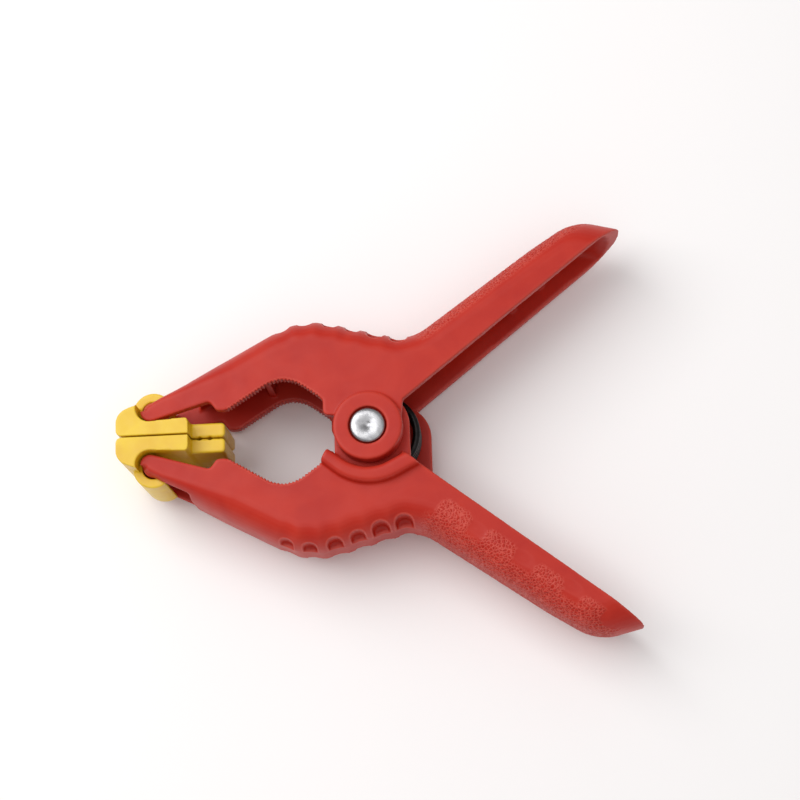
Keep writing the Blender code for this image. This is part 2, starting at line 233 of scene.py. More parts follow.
def solid_from(name: str, shape: bmesh.types.BMesh) -> bpy.types.Object:
    """Turns a finished bmesh into an object with its faces pointing out.

    Args:
        name: the object's name.
        shape: the bmesh, in millimetres, which is freed.

    Returns:
        The object.
    """
    bmesh.ops.recalc_face_normals(shape, faces=shape.faces)
    bmesh.ops.scale(shape, vec=(MM, MM, MM), verts=shape.verts)
    mesh = bpy.data.meshes.new(name)
    shape.to_mesh(mesh)
    shape.free()
    return put_in_scene(name, mesh)


def plate(
    name: str, outline: Sequence[Point], low: float, high: float, side: Side = Side.UPPER
) -> bpy.types.Object:
    """A flat plate of an outline.

    Args:
        name: the object's name.
        outline: its corners in order.
        low: the height of its lower face.
        high: the height of its upper face.
        side: LOWER mirrors the outline.

    Returns:
        The plate.
    """
    shape = bmesh.new()
    floor = shape.faces.new([shape.verts.new((x, side.value * y, low)) for x, y in outline])
    lifted = bmesh.ops.extrude_face_region(shape, geom=[floor])["geom"]
    top = [item for item in lifted if isinstance(item, bmesh.types.BMVert)]
    bmesh.ops.translate(shape, vec=(0, 0, high - low), verts=top)
    return solid_from(name, shape)


def soft_plate(
    name: str, outline: Sequence[Point], low: float, high: float, side: Side, edge: float
) -> bpy.types.Object:
    """A plate whose upper and lower edges are rounded.

    Args:
        name: the object's name.
        outline: its corners in order.
        low: the height of its lower face.
        high: the height of its upper face.
        side: LOWER mirrors the outline.
        edge: the rounding's radius.

    Returns:
        The plate.
    """
    made = plate(name, outline, low, high, side)
    bevel = made.modifiers.new("soft_edges", "BEVEL")
    bevel.width = edge * MM
    bevel.segments = 4
    bevel.limit_method = "ANGLE"
    bevel.angle_limit = math.radians(50)
    apply_modifiers(made)
    return made


def rod(
    name: str, radius: float, low: float, high: float, centre: Point = (0.0, 0.0), sides: int = 72
) -> bpy.types.Object:
    """An upright round bar.

    Args:
        name: the object's name.
        radius: its radius.
        low: the height of its lower end.
        high: the height of its upper end.
        centre: where it stands.
        sides: how many flats go round it.

    Returns:
        The bar.
    """
    shape = bmesh.new()
    place = Matrix.Translation((centre[0], centre[1], (low + high) / 2))
    bmesh.ops.create_cone(
        shape, cap_ends=True, segments=sides, radius1=radius, radius2=radius, depth=high - low, matrix=place
    )
    return solid_from(name, shape)


def turned(name: str, profile: Sequence[Point], sides: int = 72) -> bpy.types.Object:
    """A solid turned about the pivot axis.

    Args:
        name: the object's name.
        profile: radius and height of each corner, from one end to the other; a radius of 0 closes that end.
        sides: how many flats go round it.

    Returns:
        The turned solid.
    """
    shape = bmesh.new()
    verts = [shape.verts.new((radius, 0.0, z)) for radius, z in profile]
    edges = [shape.edges.new(pair) for pair in zip(verts, verts[1:])]
    bmesh.ops.spin(
        shape, geom=verts + edges, cent=(0, 0, 0), axis=(0, 0, 1),
        angle=2 * math.pi, steps=sides, use_merge=True,
    )
    bmesh.ops.remove_doubles(shape, verts=shape.verts, dist=WELD_DISTANCE)
    return solid_from(name, shape)


def loft(name: str, sections: Sequence[Sequence[Place]]) -> bpy.types.Object:
    """A closed solid through a row of sections.

    Args:
        name: the object's name.
        sections: the sections in order, each with the same number of points.

    Returns:
        The solid.
    """
    shape = bmesh.new()
    rings = [[shape.verts.new(point) for point in ring] for ring in sections]
    count = len(rings[0])
    for lower, upper in zip(rings, rings[1:]):
        for i in range(count):
            j = (i + 1) % count
            shape.faces.new((lower[i], lower[j], upper[j], upper[i]))
    bmesh.ops.triangulate(shape, faces=shape.faces)
    shape.faces.new(reversed(rings[0]))
    shape.faces.new(rings[-1])
    return solid_from(name, shape)


def apply_modifiers(obj: bpy.types.Object) -> None:
    """Replaces an object's mesh by what its modifiers make of it.

    Args:
        obj: the object, which loses its modifiers.
    """
    bpy.context.view_layer.update()
    evaluated = obj.evaluated_get(bpy.context.evaluated_depsgraph_get())
    made = bpy.data.meshes.new_from_object(evaluated)
    obj.modifiers.clear()
    obj.data = made


def discard(pieces: Iterable[bpy.types.Object]) -> None:
    """Removes objects that were only tools."""
    for piece in pieces:
        bpy.data.objects.remove(piece, do_unlink=True)


def combine(target: bpy.types.Object, tools: Sequence[bpy.types.Object], operation: str) -> None:
    """Joins tools to a solid or cuts them out of it, and discards them.

    Args:
        target: the solid that is changed.
        tools: the solids that are joined or cut.
        operation: UNION or DIFFERENCE.
    """
    for tool in tools:
        step = target.modifiers.new("combine", "BOOLEAN")
        step.operation = operation
        step.solver = "EXACT"
        step.object = tool
    apply_modifiers(target)
    discard(tools)


def gathered(name: str, pieces: Sequence[bpy.types.Object]) -> bpy.types.Object:
    """Several separate solids as one object.

    Args:
        name: the object's name.
        pieces: the solids, which are discarded.

    Returns:
        The object.
    """
    shape = bmesh.new()
    for piece in pieces:
        shape.from_mesh(piece.data)
    mesh = bpy.data.meshes.new(name)
    shape.to_mesh(mesh)
    shape.free()
    discard(pieces)
    return put_in_scene(name, mesh)


class Skin:
    """A mesh's points as an array in millimetres, with what is needed to move and mark them."""

    def __init__(self, obj: bpy.types.Object) -> None:
        """Reads the mesh's points and edges.

        Args:
            obj: the object that has the mesh.
        """
        self.obj = obj
        self.mesh = obj.data
        count = len(self.mesh.vertices)
        flat = np.empty(count * 3)
        self.mesh.vertices.foreach_get("co", flat)
        self.points = flat.reshape(-1, 3) / MM
        pairs = np.empty(len(self.mesh.edges) * 2, np.int64)
        self.mesh.edges.foreach_get("vertices", pairs)
        self.pairs = pairs.reshape(-1, 2)
        self.degree = np.bincount(self.pairs.ravel(), minlength=count).clip(1)

    def neighbours(self) -> np.ndarray:
        """Averages the points that share an edge with each point.

        Returns:
            The mean place of each point's neighbours.
        """
        total = np.zeros_like(self.points)
        for one, other in ((0, 1), (1, 0)):
            for k in range(3):
                weights = self.points[self.pairs[:, other], k]
                total[:, k] += np.bincount(self.pairs[:, one], weights=weights, minlength=len(self.points))
        return total / self.degree[:, None]

    def smooth(self, rounds: int, share: np.ndarray | float = 1.0) -> None:
        """Relaxes the points towards their neighbours.

        Args:
            rounds: how many times.
            share: how far each point follows, 0 to 1.
        """
        reach = 0.5 * np.broadcast_to(share, len(self.points))[:, None]
        for _ in range(rounds):
            self.points += (self.neighbours() - self.points) * reach
        self.write()

    def normals(self) -> np.ndarray:
        """Reads how the skin faces.

        Returns:
            A unit normal for each point.
        """
        flat = np.empty(len(self.points) * 3, np.float32)
        self.mesh.vertex_normals.foreach_get("vector", flat)
        return flat.reshape(-1, 3).astype(float)

    def push(self, height: np.ndarray) -> None:
        """Moves each point along its normal by its height in millimetres."""
        self.points += self.normals() * height[:, None]
        self.write()

    def write(self) -> None:
        """Puts the points back in the mesh."""
        self.mesh.vertices.foreach_set("co", (self.points * MM).ravel())
        self.mesh.update()

    def painted_edge_highlight(self, gain: float) -> np.ndarray:
        """How much each point stands out from its neighbours, the mask of the painted edge highlight.

        Args:
            gain: how fast the painted highlight grows with the height above them, per millimetre.

        Returns:
            A value for each point, 0 on a flat to 1 on a sharp edge.
        """
        bulge = -((self.neighbours() - self.points) * self.normals()).sum(axis=1)
        return np.clip(bulge * gain, 0.0, 1.0)

    def mark(self, name: str, values: np.ndarray) -> None:
        """Stores a value for each point, which a finish can read by name."""
        layer = self.mesh.attributes.get(name) or self.mesh.attributes.new(name, "FLOAT", "POINT")
        layer.data.foreach_set("value", values.astype(np.float32))


def remeshed(obj: bpy.types.Object, voxel: float, rounds: int) -> Skin:
    """Gives a solid an even fine skin with its edges just broken, as a moulding has.

    Args:
        obj: the solid.
        voxel: the size of the new mesh's cells.
        rounds: how many times the new skin is smoothed.

    Returns:
        The new skin.
    """
    step = obj.modifiers.new("even_skin", "REMESH")
    step.mode = "VOXEL"
    step.voxel_size = voxel * MM
    step.use_smooth_shade = True
    apply_modifiers(obj)
    skin = Skin(obj)
    skin.smooth(rounds)
    return skin


def thinned(obj: bpy.types.Object, triangles: int) -> None:
    """Merges the cells of flat places in a mesh.

    Args:
        obj: the object that has the mesh.
        triangles: about how many triangles are left.
    """
    count = sum(len(face.vertices) - 2 for face in obj.data.polygons)
    if count > triangles:
        step = obj.modifiers.new("thin", "DECIMATE")
        step.ratio = triangles / count
        apply_modifiers(obj)
    obj.data.shade_smooth()


def pebbles(points: np.ndarray, size: float, gain: float = 2.2) -> np.ndarray:
    """A leather-like grain: 0 in the creases to 1 on the pebbles.

    Args:
        points: where it is wanted, in millimetres.
        size: about how wide one pebble is.
        gain: how steeply a pebble rises out of its creases.

    Returns:
        The grain's height at each point.
    """
    heights = np.empty(len(points))
    for i, point in enumerate(points / size):
        near = noise.voronoi(point)[0]
        heights[i] = near[1] - near[0]
    return np.clip(heights * gain, 0.0, 1.0)


def ramp(values: np.ndarray, low: float, high: float) -> np.ndarray:
    """A smooth step from 0 at low to 1 at high, which may be the other way round."""
    share = np.clip((values - low) / (high - low), 0.0, 1.0)
    return share * share * (3 - 2 * share)


# ----------------------------------------------------------------------------------------------------
# Finishes


def linear(red: int, green: int, blue: int) -> Colour:
    """A display colour as the linear colour that a shader takes.

    Args:
        red: the red channel, 0 to 255.
        green: the green channel.
        blue: the blue channel.

    Returns:
        The linear colour, opaque.
    """

    def channel(value: int) -> float:
        """One channel's linear value, by the usual display curve."""
        share = value / 255
        return share / 12.92 if share <= 0.04045 else ((share + 0.055) / 1.055) ** 2.4

    return channel(red), channel(green), channel(blue), 1.0


class NodeSheet:
    """A material's node tree, with short ways to add what the finishes share."""

    # The colour sockets of a mix node, whose names its number and vector sockets share.
    MIX_SHARE, MIX_COLOURS, MIX_RESULT = 0, (6, 7), 2

    def __init__(self, name: str) -> None:
        """Starts a material that has only its surface shader and its output.

        Args:
            name: the material's name.
        """
        self.material = bpy.data.materials.new(name)
        self.material.use_nodes = True
        self.tree = self.material.node_tree
        self.shader = self.tree.nodes["Principled BSDF"]
        self.place = self.add("ShaderNodeTexCoord").outputs["Object"]

    def add(self, kind: str, **settings: object) -> bpy.types.Node:
        """Adds a node.

        Args:
            kind: the node's type.
            settings: its own properties.

        Returns:
            The node.
        """
        node = self.tree.nodes.new(kind)
        for key, value in settings.items():
            setattr(node, key, value)
        return node

    def link(self, source: bpy.types.NodeSocket, target: bpy.types.NodeSocket) -> None:
        """Joins an output to an input."""
        self.tree.links.new(source, target)

    def cloud(self, size: float, detail: float = 3.0, distortion: float = 0.0) -> bpy.types.NodeSocket:
        """Soft noise.

        Args:
            size: about how wide its blots are, in millimetres.
            detail: how many finer layers it has.
            distortion: how far it is warped.

        Returns:
            The noise, about 0.3 to 0.7.
        """
        node = self.add("ShaderNodeTexNoise")
        node.inputs["Scale"].default_value = 1 / (size * MM)
        node.inputs["Detail"].default_value = detail
        node.inputs["Distortion"].default_value = distortion
        self.link(self.place, node.inputs["Vector"])
        return node.outputs["Fac"]

    def mapped(self, value: bpy.types.NodeSocket, ends: Sequence[float]) -> bpy.types.NodeSocket:
        """A value carried from one range to another.

        Args:
            value: the value.
            ends: its own lowest and highest, then those that it is carried to.

        Returns:
            The carried value.
        """
        node = self.add("ShaderNodeMapRange")
        for key, end in zip(("From Min", "From Max", "To Min", "To Max"), ends):
            node.inputs[key].default_value = end
        self.link(value, node.inputs["Value"])
        return node.outputs["Result"]

    def product(self, one: bpy.types.NodeSocket, other: bpy.types.NodeSocket) -> bpy.types.NodeSocket:
        """Multiplies two values.

        Args:
            one: the first value.
            other: the second value.

        Returns:
            Their product.
        """
        node = self.add("ShaderNodeMath", operation="MULTIPLY")
        self.link(one, node.inputs[0])
        self.link(other, node.inputs[1])
        return node.outputs["Value"]

    def mark(self, name: str) -> bpy.types.NodeSocket:
        """A value that the mesh stores for each point."""
        return self.add("ShaderNodeAttribute", attribute_name=name).outputs["Fac"]

    def mixed(
        self, share: bpy.types.NodeSocket, one: Colour | bpy.types.NodeSocket, other: Colour
    ) -> bpy.types.NodeSocket:
        """Mixes two colours.

        Args:
            share: 0 for only the first colour, 1 for only the second.
            one: the first colour, or a socket that carries it.
            other: the second colour.

        Returns:
            The mixed colour.
        """
        node = self.add("ShaderNodeMix", data_type="RGBA")
        self.link(share, node.inputs[self.MIX_SHARE])
        for index, colour in zip(self.MIX_COLOURS, (one, other)):
            if isinstance(colour, bpy.types.NodeSocket):
                self.link(colour, node.inputs[index])
            else:
                node.inputs[index].default_value = colour
        return node.outputs[self.MIX_RESULT]

    def bump(
        self, height: bpy.types.NodeSocket, strength: float, depth: float,
        under: bpy.types.NodeSocket | None = None,
    ) -> bpy.types.NodeSocket:
        """A bump of a height, on top of another one.

        Args:
            height: the height's value, 0 to 1.
            strength: how strongly it shows.
            depth: how deep it is, in millimetres.
            under: the bump below it.

        Returns:
            The bumped normal.
        """
        node = self.add("ShaderNodeBump")
        node.inputs["Strength"].default_value = strength
        node.inputs["Distance"].default_value = depth * MM
        self.link(height, node.inputs["Height"])
        if under:
            self.link(under, node.inputs["Normal"])
        return node.outputs["Normal"]


# Where noise starts and stops counting as a blot, and what it is carried to.
BLOTS = (0.35, 0.7, 0.0, 1.0)
# The part of its range that soft noise fills.
NOISE_LOW, NOISE_HIGH = 0.3, 0.7
# About how wide a pebble of the grips' grain is, in millimetres.
PEBBLE_SIZE = 0.68


@dataclass(frozen=True)
class NylonFinish:
    """Glass-filled red nylon: a satin skin with a pebble grain on the grips, and paler edges and scallop lips
    that are a painted highlight.
    """

    name: str = "red_nylon_moulding"
    body: Colour = linear(187, 40, 22)
    deep: Colour = linear(177, 30, 15)
    # A paler red: the painted highlight on edges and scallop lips, and the paler ridges of the grain.
    pale_tone: Colour = linear(212, 92, 78)
    blots: tuple[float, ...] = (0.35, 0.65, 0.0, 1.0)
    blot_size: float = 9.0
    gloss_size: float = 3.0
    satin_size: float = 0.22
    satin_depth: float = 0.02
    pebble_edges: tuple[float, ...] = (0.02, 0.3, 0.0, 1.0)
    pebble_depth: float = 0.12
    ridge_wear: tuple[float, ...] = (0.0, 0.17, 0.68, 0.0)
    painted_edge_highlight: float = 0.75
    roughness: float = 0.43
    polish: float = -0.12
    specular: float = 0.3

    def build(self) -> bpy.types.Material:
        """Makes the material.

        Returns:
            The material.
        """
        sheet = NodeSheet(self.name)
        grain_mask, polish, edge = sheet.mark("grain"), sheet.mark("polish"), sheet.mark("edge")
        cells = sheet.add("ShaderNodeTexVoronoi", feature="DISTANCE_TO_EDGE")
        cells.inputs["Scale"].default_value = 1 / (PEBBLE_SIZE * MM)
        sheet.link(sheet.place, cells.inputs["Vector"])
        creases = sheet.mapped(cells.outputs["Distance"], self.pebble_edges)
        grain = sheet.product(creases, grain_mask)
        satin = sheet.cloud(self.satin_size, detail=2.0)
        blots = sheet.mapped(sheet.cloud(self.blot_size, detail=4.0, distortion=0.6), self.blots)
        colour = sheet.mixed(blots, self.body, self.deep)
        ridges = sheet.product(sheet.mapped(cells.outputs["Distance"], self.ridge_wear), grain_mask)
        colour = sheet.mixed(ridges, colour, self.pale_tone)
        # Painted highlight: the marked edges and scallop lips are mixed towards the pale tone.
        colour = sheet.mixed(sheet.mapped(edge, (0.0, 1.0, 0.0, self.painted_edge_highlight)), colour, self.pale_tone)
        sheet.link(colour, sheet.shader.inputs["Base Color"])
        rough = sheet.add("ShaderNodeMath", operation="ADD")
        gloss = (NOISE_LOW, NOISE_HIGH, self.roughness - 0.03, self.roughness + 0.05)
        sheet.link(sheet.mapped(sheet.cloud(self.gloss_size), gloss), rough.inputs[0])
        sheet.link(sheet.mapped(polish, (0.0, 1.0, 0.0, self.polish)), rough.inputs[1])
        sheet.link(rough.outputs["Value"], sheet.shader.inputs["Roughness"])
        fine = sheet.bump(satin, 0.35, self.satin_depth)
        sheet.link(sheet.bump(grain, 0.7, self.pebble_depth, fine), sheet.shader.inputs["Normal"])
        sheet.shader.inputs["Specular IOR Level"].default_value = self.specular
        return sheet.material


@dataclass(frozen=True)
class PadFinish:
    """Smooth yellow moulded plastic with faint handling marks and paler edges that are a painted highlight."""

    name: str = "yellow_pad_moulding"
    body: Colour = linear(231, 193, 26)
    deep: Colour = linear(222, 177, 18)
    # A paler yellow for the painted highlight along the edges.
    pale_tone: Colour = linear(240, 216, 104)
    blot_size: float = 6.0
    gloss_size: float = 2.0
    skin_size: float = 0.3
    skin_depth: float = 0.015
    painted_edge_highlight: float = 0.6
    roughness: float = 0.34

    def build(self) -> bpy.types.Material:
        """Makes the material.

        Returns:
            The material.
        """
        sheet = NodeSheet(self.name)
        blots = sheet.mapped(sheet.cloud(self.blot_size, detail=4.0, distortion=0.8), BLOTS)
        colour = sheet.mixed(blots, self.body, self.deep)
        # Painted highlight: the pad's marked edges are mixed towards the pale tone.
        highlight_share = sheet.mapped(sheet.mark("edge"), (0.0, 1.0, 0.0, self.painted_edge_highlight))
        colour = sheet.mixed(highlight_share, colour, self.pale_tone)
        sheet.link(colour, sheet.shader.inputs["Base Color"])
        gloss = (NOISE_LOW, NOISE_HIGH, self.roughness - 0.04, self.roughness + 0.08)
        rough = sheet.mapped(sheet.cloud(self.gloss_size, detail=5.0), gloss)
        sheet.link(rough, sheet.shader.inputs["Roughness"])
        skin = sheet.bump(sheet.cloud(self.skin_size), 0.2, self.skin_depth)
        sheet.link(skin, sheet.shader.inputs["Normal"])
        return sheet.material


@dataclass(frozen=True)
class SteelFinish:
    """Steel with a drawn or turned surface and a thin coating."""

    name: str
    body: Colour
    deep: Colour
    roughness: float
    metallic: float
    blot_size: float = 1.2
    gloss_size: float = 0.6
    pit_size: float = 0.15
    mark_depth: float = 0.01
    ring_scale: float = 900
    ring_waver: float = 1.5

    def build(self) -> bpy.types.Material:
        """Makes the material.

        Returns:
            The material.
        """
        sheet = NodeSheet(self.name)
        blots = sheet.mapped(sheet.cloud(self.blot_size, detail=5.0, distortion=0.4), BLOTS)
        sheet.link(sheet.mixed(blots, self.body, self.deep), sheet.shader.inputs["Base Color"])
        gloss = (NOISE_LOW, NOISE_HIGH, self.roughness - 0.06, self.roughness + 0.1)
        rough = sheet.mapped(sheet.cloud(self.gloss_size, detail=4.0), gloss)
        sheet.link(rough, sheet.shader.inputs["Roughness"])
        sheet.shader.inputs["Metallic"].default_value = self.metallic
        rings = sheet.add("ShaderNodeTexWave", wave_type="RINGS", rings_direction="Z")
        rings.inputs["Scale"].default_value = self.ring_scale
        rings.inputs["Distortion"].default_value = self.ring_waver
        sheet.link(sheet.place, rings.inputs["Vector"])
        fine = sheet.bump(rings.outputs["Fac"], 0.15, self.mark_depth)
        pits = sheet.bump(sheet.cloud(self.pit_size), 0.25, self.mark_depth, fine)
        sheet.link(pits, sheet.shader.inputs["Normal"])
        return sheet.material


@dataclass(frozen=True)
class TableFinish:
    """A plain pale table."""

    name: str = "pale_table"
    body: Colour = linear(250, 248, 248)
    deep: Colour = linear(236, 232, 230)
    blot_size: float = 30.0
    blot_share: float = 0.03
    roughness: float = 0.55
    specular: float = 0.25

    def build(self) -> bpy.types.Material:
        """Makes the material.

        Returns:
            The material.
        """
        sheet = NodeSheet(self.name)
        blots = (NOISE_LOW, NOISE_HIGH, 0.0, self.blot_share)
        shade = sheet.mapped(sheet.cloud(self.blot_size, detail=2.0), blots)
        sheet.link(sheet.mixed(shade, self.body, self.deep), sheet.shader.inputs["Base Color"])
        sheet.shader.inputs["Roughness"].default_value = self.roughness
        sheet.shader.inputs["Specular IOR Level"].default_value = self.specular
        return sheet.material


BLACK_WIRE = SteelFinish("black_spring_wire", linear(34, 31, 31), linear(20, 18, 18), 0.34, 0.75)
PLATED = SteelFinish("zinc_plated_steel", linear(176, 176, 178), linear(150, 150, 154), 0.3, 1.0)


# ----------------------------------------------------------------------------------------------------
# The arms


@dataclass(frozen=True)
class Scallop:
    """A small pocket in an arm's rounded back edge: its place along X, half its width, its reach inward."""

    x: float
    half_width: float
    reach: float


@dataclass(frozen=True)
class ArmSizes:
    """The sizes that both arms share, in millimetres and radians."""

    body_width: float = 20.0
    rim_height: float = 2.0
    wall: float = 2.4
    gap: float = 0.3
    edge_height: float = 7.2
    edge_inset: float = 5.0
    back_fullness: float = 0.4
    handle_angle: float = math.radians(37.9)
    handle_reach: float = 70.0
    tip_sagitta: float = 4.5
    handle_taper: float = 0.92
    taper_start: float = 15.0
    taper_run: float = 40.0
    round_start: float = 42.0
    nose_radius: float = 2.1
    nose_bar_radius: float = 2.0
    nose_edge_share: float = 0.35
    fork_depth_x: float = -38.5
    rib_half_width: float = 7.8
    rib_foot: float = 5.9
    rib_wall: float = 1.4
    boss_radius: float = 7.3
    pin_hole_radius: float = 2.4
    pin_seat_radius: float = 4.0
    pin_seat_depth: float = 1.3
    wave_height: float = 0.35
    scallop_floor: float = 3.45
    scallop_lip: float = 0.08
    scallop_overcut: float = 1.2
    wave_half_length: float = 2.4
    wave_power: float = 1.5
    nose_x: float = -44.0
    full_back_x: float = -30.0
    hump_end_x: float = 34.0
    plain_back_x: float = 44.0
    handle_start_x: float = 20.0
    channel_edge: float = 1.2
    bar_seat: float = 0.6
    boss_softness: float = 0.35
    overlap: float = 0.1
    tooth_pitch: float = 0.75
    tooth_depth: float = 0.45
    tooth_reach: float = 0.45
    tooth_fade: float = 0.6

    @property
    def half_body(self) -> float:
        """From the middle plane to a cheek."""
        return self.body_width / 2

    def on_open_face(self, reach: float, depth: float = 0.0) -> Point:
        """A point on or behind the handle's open face.

        Args:
            reach: how far it is from the pivot, along the face.
            depth: how far it lies behind the face.

        Returns:
            The point.
        """
        cos, sin = math.cos(self.handle_angle), math.sin(self.handle_angle)
        return reach * cos - depth * sin, reach * sin + depth * cos


@dataclass(frozen=True)
class GripSizes:
    """The grain and thumb marks of a handle, in millimetres along the handle and behind its open face."""

    start: float = 18.0
    skin: float = 0.6
    bulge: float = 0.9
    pebble_height: float = 0.2
    least_grain: float = 0.02
    thumb_depth: float = 0.1
    thumb_fade: tuple[float, float] = (1.3, 0.4)
    patch_middle: float = 5.2
    patch_fall: float = 5.0
    patch_fullness: float = 1.25
    patch_least: float = 0.3
    patch_fade: float = 0.6
    patch_foot: tuple[float, float] = (2.2, 3.2)
    back_band: tuple[float, float] = (3.4, 2.2)
    back_start: tuple[float, float] = (19.0, 23.0)
    back_end: tuple[float, float] = (67.5, 64.5)


@dataclass(frozen=True)
class LipSizes:
    """The thin raised line round a scallop, in millimetres, with ratios to the scallop's own size."""

    arch_ratio: float = 1.17
    arch_fade: tuple[float, float] = (0.14, 0.02)
    arch_depth: float = 3.0
    foot_ratio: float = 1.2
    foot_drop: float = 0.15
    foot_fade: tuple[float, float] = (0.3, 0.05)
    below_floor: float = 0.4
    # How strongly the line is painted paler: a painted highlight.
    highlight_share: float = 0.7


@dataclass(frozen=True)
class SkinQuality:
    """How finely a moulding's skin is made: its cell, rounds of smoothing, the gain of its painted edge
    highlight and triangles.
    """

    cell: float
    rounds: int
    highlight_gain: float
    triangles: int


SIZES = ArmSizes()
GRIP = GripSizes()
LIPS = LipSizes()
ARM_SKIN = SkinQuality(cell=0.26, rounds=3, highlight_gain=14.0, triangles=190000)
PAD_SKIN = SkinQuality(cell=0.2, rounds=4, highlight_gain=20.0, triangles=110000)
# The handle's ribs: reach, how deep behind the open face each begins, and its thickness.
HANDLE_RIBS = ((24.5, 5.55, 2.0), (42.6, 3.5, 1.4), (50.6, 3.5, 1.4))
# The jaw's ribs: place along X, and the outward y of each end.
JAW_RIBS = ((-33.0, 9.6, 13.1), (-22.0, 12.2, 19.2))
SCALLOPS = (
    Scallop(-18.4, 1.45, 0.75), Scallop(-13.3, 1.45, 0.8), Scallop(-8.2, 1.55, 1.1),
    Scallop(-3.2, 1.5, 1.05), Scallop(1.6, 1.75, 1.4), Scallop(6.6, 1.75, 1.4),
)
# Smooth thumb marks along the handle: reach, depth, half length and half width.
THUMB_MARKS = ((31.2, 4.6, 2.3, 1.3), (42.3, 4.0, 2.3, 1.3), (53.6, 3.0, 2.3, 1.1))
# The ends of the grained patches along the handle, as pairs of reach.
GRAIN_RUNS = ((21.8, 29.4), (32.8, 40.4), (45.2, 52.4), (56.4, 63.6))
BACK_SPACING = 0.5
TOOTH_SPACING = 0.1
HOLLOW_POINTS = 260


class ArmProfile:
    """An arm's side outline, drawn once and used at every level of its loft."""

    # How far behind the handle's open face the back's last points stay.
    FACE_MARGIN = 0.05

    def __init__(self, pivot_corners: Sequence[Corner]) -> None:
        """Lays out the outline.

        Args:
            pivot_corners: the corners between the handle and the throat, where the two arms differ.
        """
        tip = SIZES.on_open_face(SIZES.handle_reach)
        back_corners = [
            (-48.1, 7.4, SIZES.nose_radius), (SIZES.fork_depth_x, 12.6, 0.0), (-14.0, 25.75, 16.0),
            (9.2, 19.5, 9.0), (45.5, 45.3, 11.0), (*tip, 0.0),
        ]
        jaw_corners = [
            (-17.6, 12.4, 7.0), (-29.3, 5.2, 1.2), (-31.9, 5.2, 1.0), (-33.4, 7.3, 1.0),
            (-48.1, 2.9, SIZES.nose_radius),
        ]
        owners: list[int] = []
        points = rounded([*back_corners, *pivot_corners, *jaw_corners], owners)
        count = sum(1 for owner in owners if owner < len(back_corners))
        self.back = spaced(points[:count], BACK_SPACING)
        self.normals = line_normals(self.back)
        self.inner = points[count:]
        self.run = run_along(self.back)
        # The throat's edge runs from the last pivot corner over the first two jaw corners.
        jaw_start = len(back_corners) + len(pivot_corners)
        throat_owners = range(jaw_start - 1, jaw_start + 2)
        self.throat = [point for point, owner in zip(self.inner, owners[count:]) if owner in throat_owners]

    def run_at(self, x: float) -> float:
        """How far along the back the point at x lies."""
        return float(np.interp(x, self.back[:, 0], self.run))

    def frame_at(self, x: float) -> tuple[np.ndarray, np.ndarray]:
        """Where the back is at x.

        Args:
            x: the place along X.

        Returns:
            The back's point and its normal, which points into the arm.
        """
        index = int(np.searchsorted(self.run, self.run_at(x)))
        return self.back[index], self.normals[index]

    def wave(self, run: np.ndarray) -> np.ndarray:
        """How far the back dips: once at each scallop, and not at all beyond them.

        Args:
            run: places along the back.

        Returns:
            The dip at each place.
        """
        dip = np.zeros_like(run)
        for scallop in SCALLOPS:
            away = np.abs(run - self.run_at(scallop.x)) / SIZES.wave_half_length
            dip += np.clip(1 - away * away, 0.0, 1.0) ** SIZES.wave_power
        return dip * SIZES.wave_height

    def back_at(self, inset: float, rounding: float, wavy: bool) -> list[Point]:
        """The back's points drawn in by a wall and by an edge rounding, which is weaker at the nose.

        Args:
            inset: the wall.
            rounding: the edge rounding at this level.
            wavy: whether the back's waves show.

        Returns:
            The moved points, the last one on the handle's open face.
        """
        x = self.back[:, 0]
        share = np.clip((x - SIZES.nose_x) / (SIZES.full_back_x - SIZES.nose_x), 0.0, 1.0)
        edge = rounding * (SIZES.nose_edge_share + (1 - SIZES.nose_edge_share) * share)
        fullness = SIZES.back_fullness * ramp(x, SIZES.nose_x, SIZES.full_back_x)
        fullness = fullness * ramp(x, SIZES.plain_back_x, SIZES.hump_end_x)
        depth = inset + edge + (self.wave(self.run) - fullness if wavy else 0.0)
        moved = self.back + self.normals * np.broadcast_to(depth, len(self.back))[:, None]
        (x0, y0), (x1, y1) = self.back[-2:]
        slope = math.atan2(y0 - y1, x1 - x0)
        shortening = (inset + rounding) / math.sin(SIZES.handle_angle + slope)
        end = SIZES.on_open_face(SIZES.handle_reach - shortening)
        reach, behind_face = along_handle(moved)
        before_handle = moved[:, 0] < SIZES.handle_start_x
        kept = ((reach < math.hypot(*end)) & (behind_face > self.FACE_MARGIN)) | before_handle
        return [tuple(point) for point in moved[kept][:-1]] + [end]

    def depth_behind(self, flat: np.ndarray) -> np.ndarray:
        """How far each point lies from the back's line.

        Args:
            flat: x and outward y of each point.

        Returns:
            The distances.
        """
        nearest = np.full(len(flat), np.inf)
        for start, end in zip(self.back, self.back[1:]):
            along = end - start
            share = np.clip(((flat - start) @ along) / (along @ along), 0.0, 1.0)
            nearest = np.minimum(nearest, np.linalg.norm(flat - start - share[:, None] * along, axis=1))
        return nearest


def along_handle(flat: np.ndarray) -> tuple[np.ndarray, np.ndarray]:
    """Each point's place in the handle's own directions.

    Args:
        flat: x and outward y of each point.

    Returns:
        The reach from the pivot along the handle's open face, and the depth behind the face.
    """
    cos, sin = math.cos(SIZES.handle_angle), math.sin(SIZES.handle_angle)
    return flat @ np.array([cos, sin]), flat @ np.array([-sin, cos])


def slimness(reach: np.ndarray | float) -> np.ndarray | float:
    """The handle's width at a reach, as a share of the body's width."""
    share = np.clip((reach - SIZES.taper_start) / SIZES.taper_run, 0.0, 1.0)
    return 1.0 - (1.0 - SIZES.handle_taper) * share


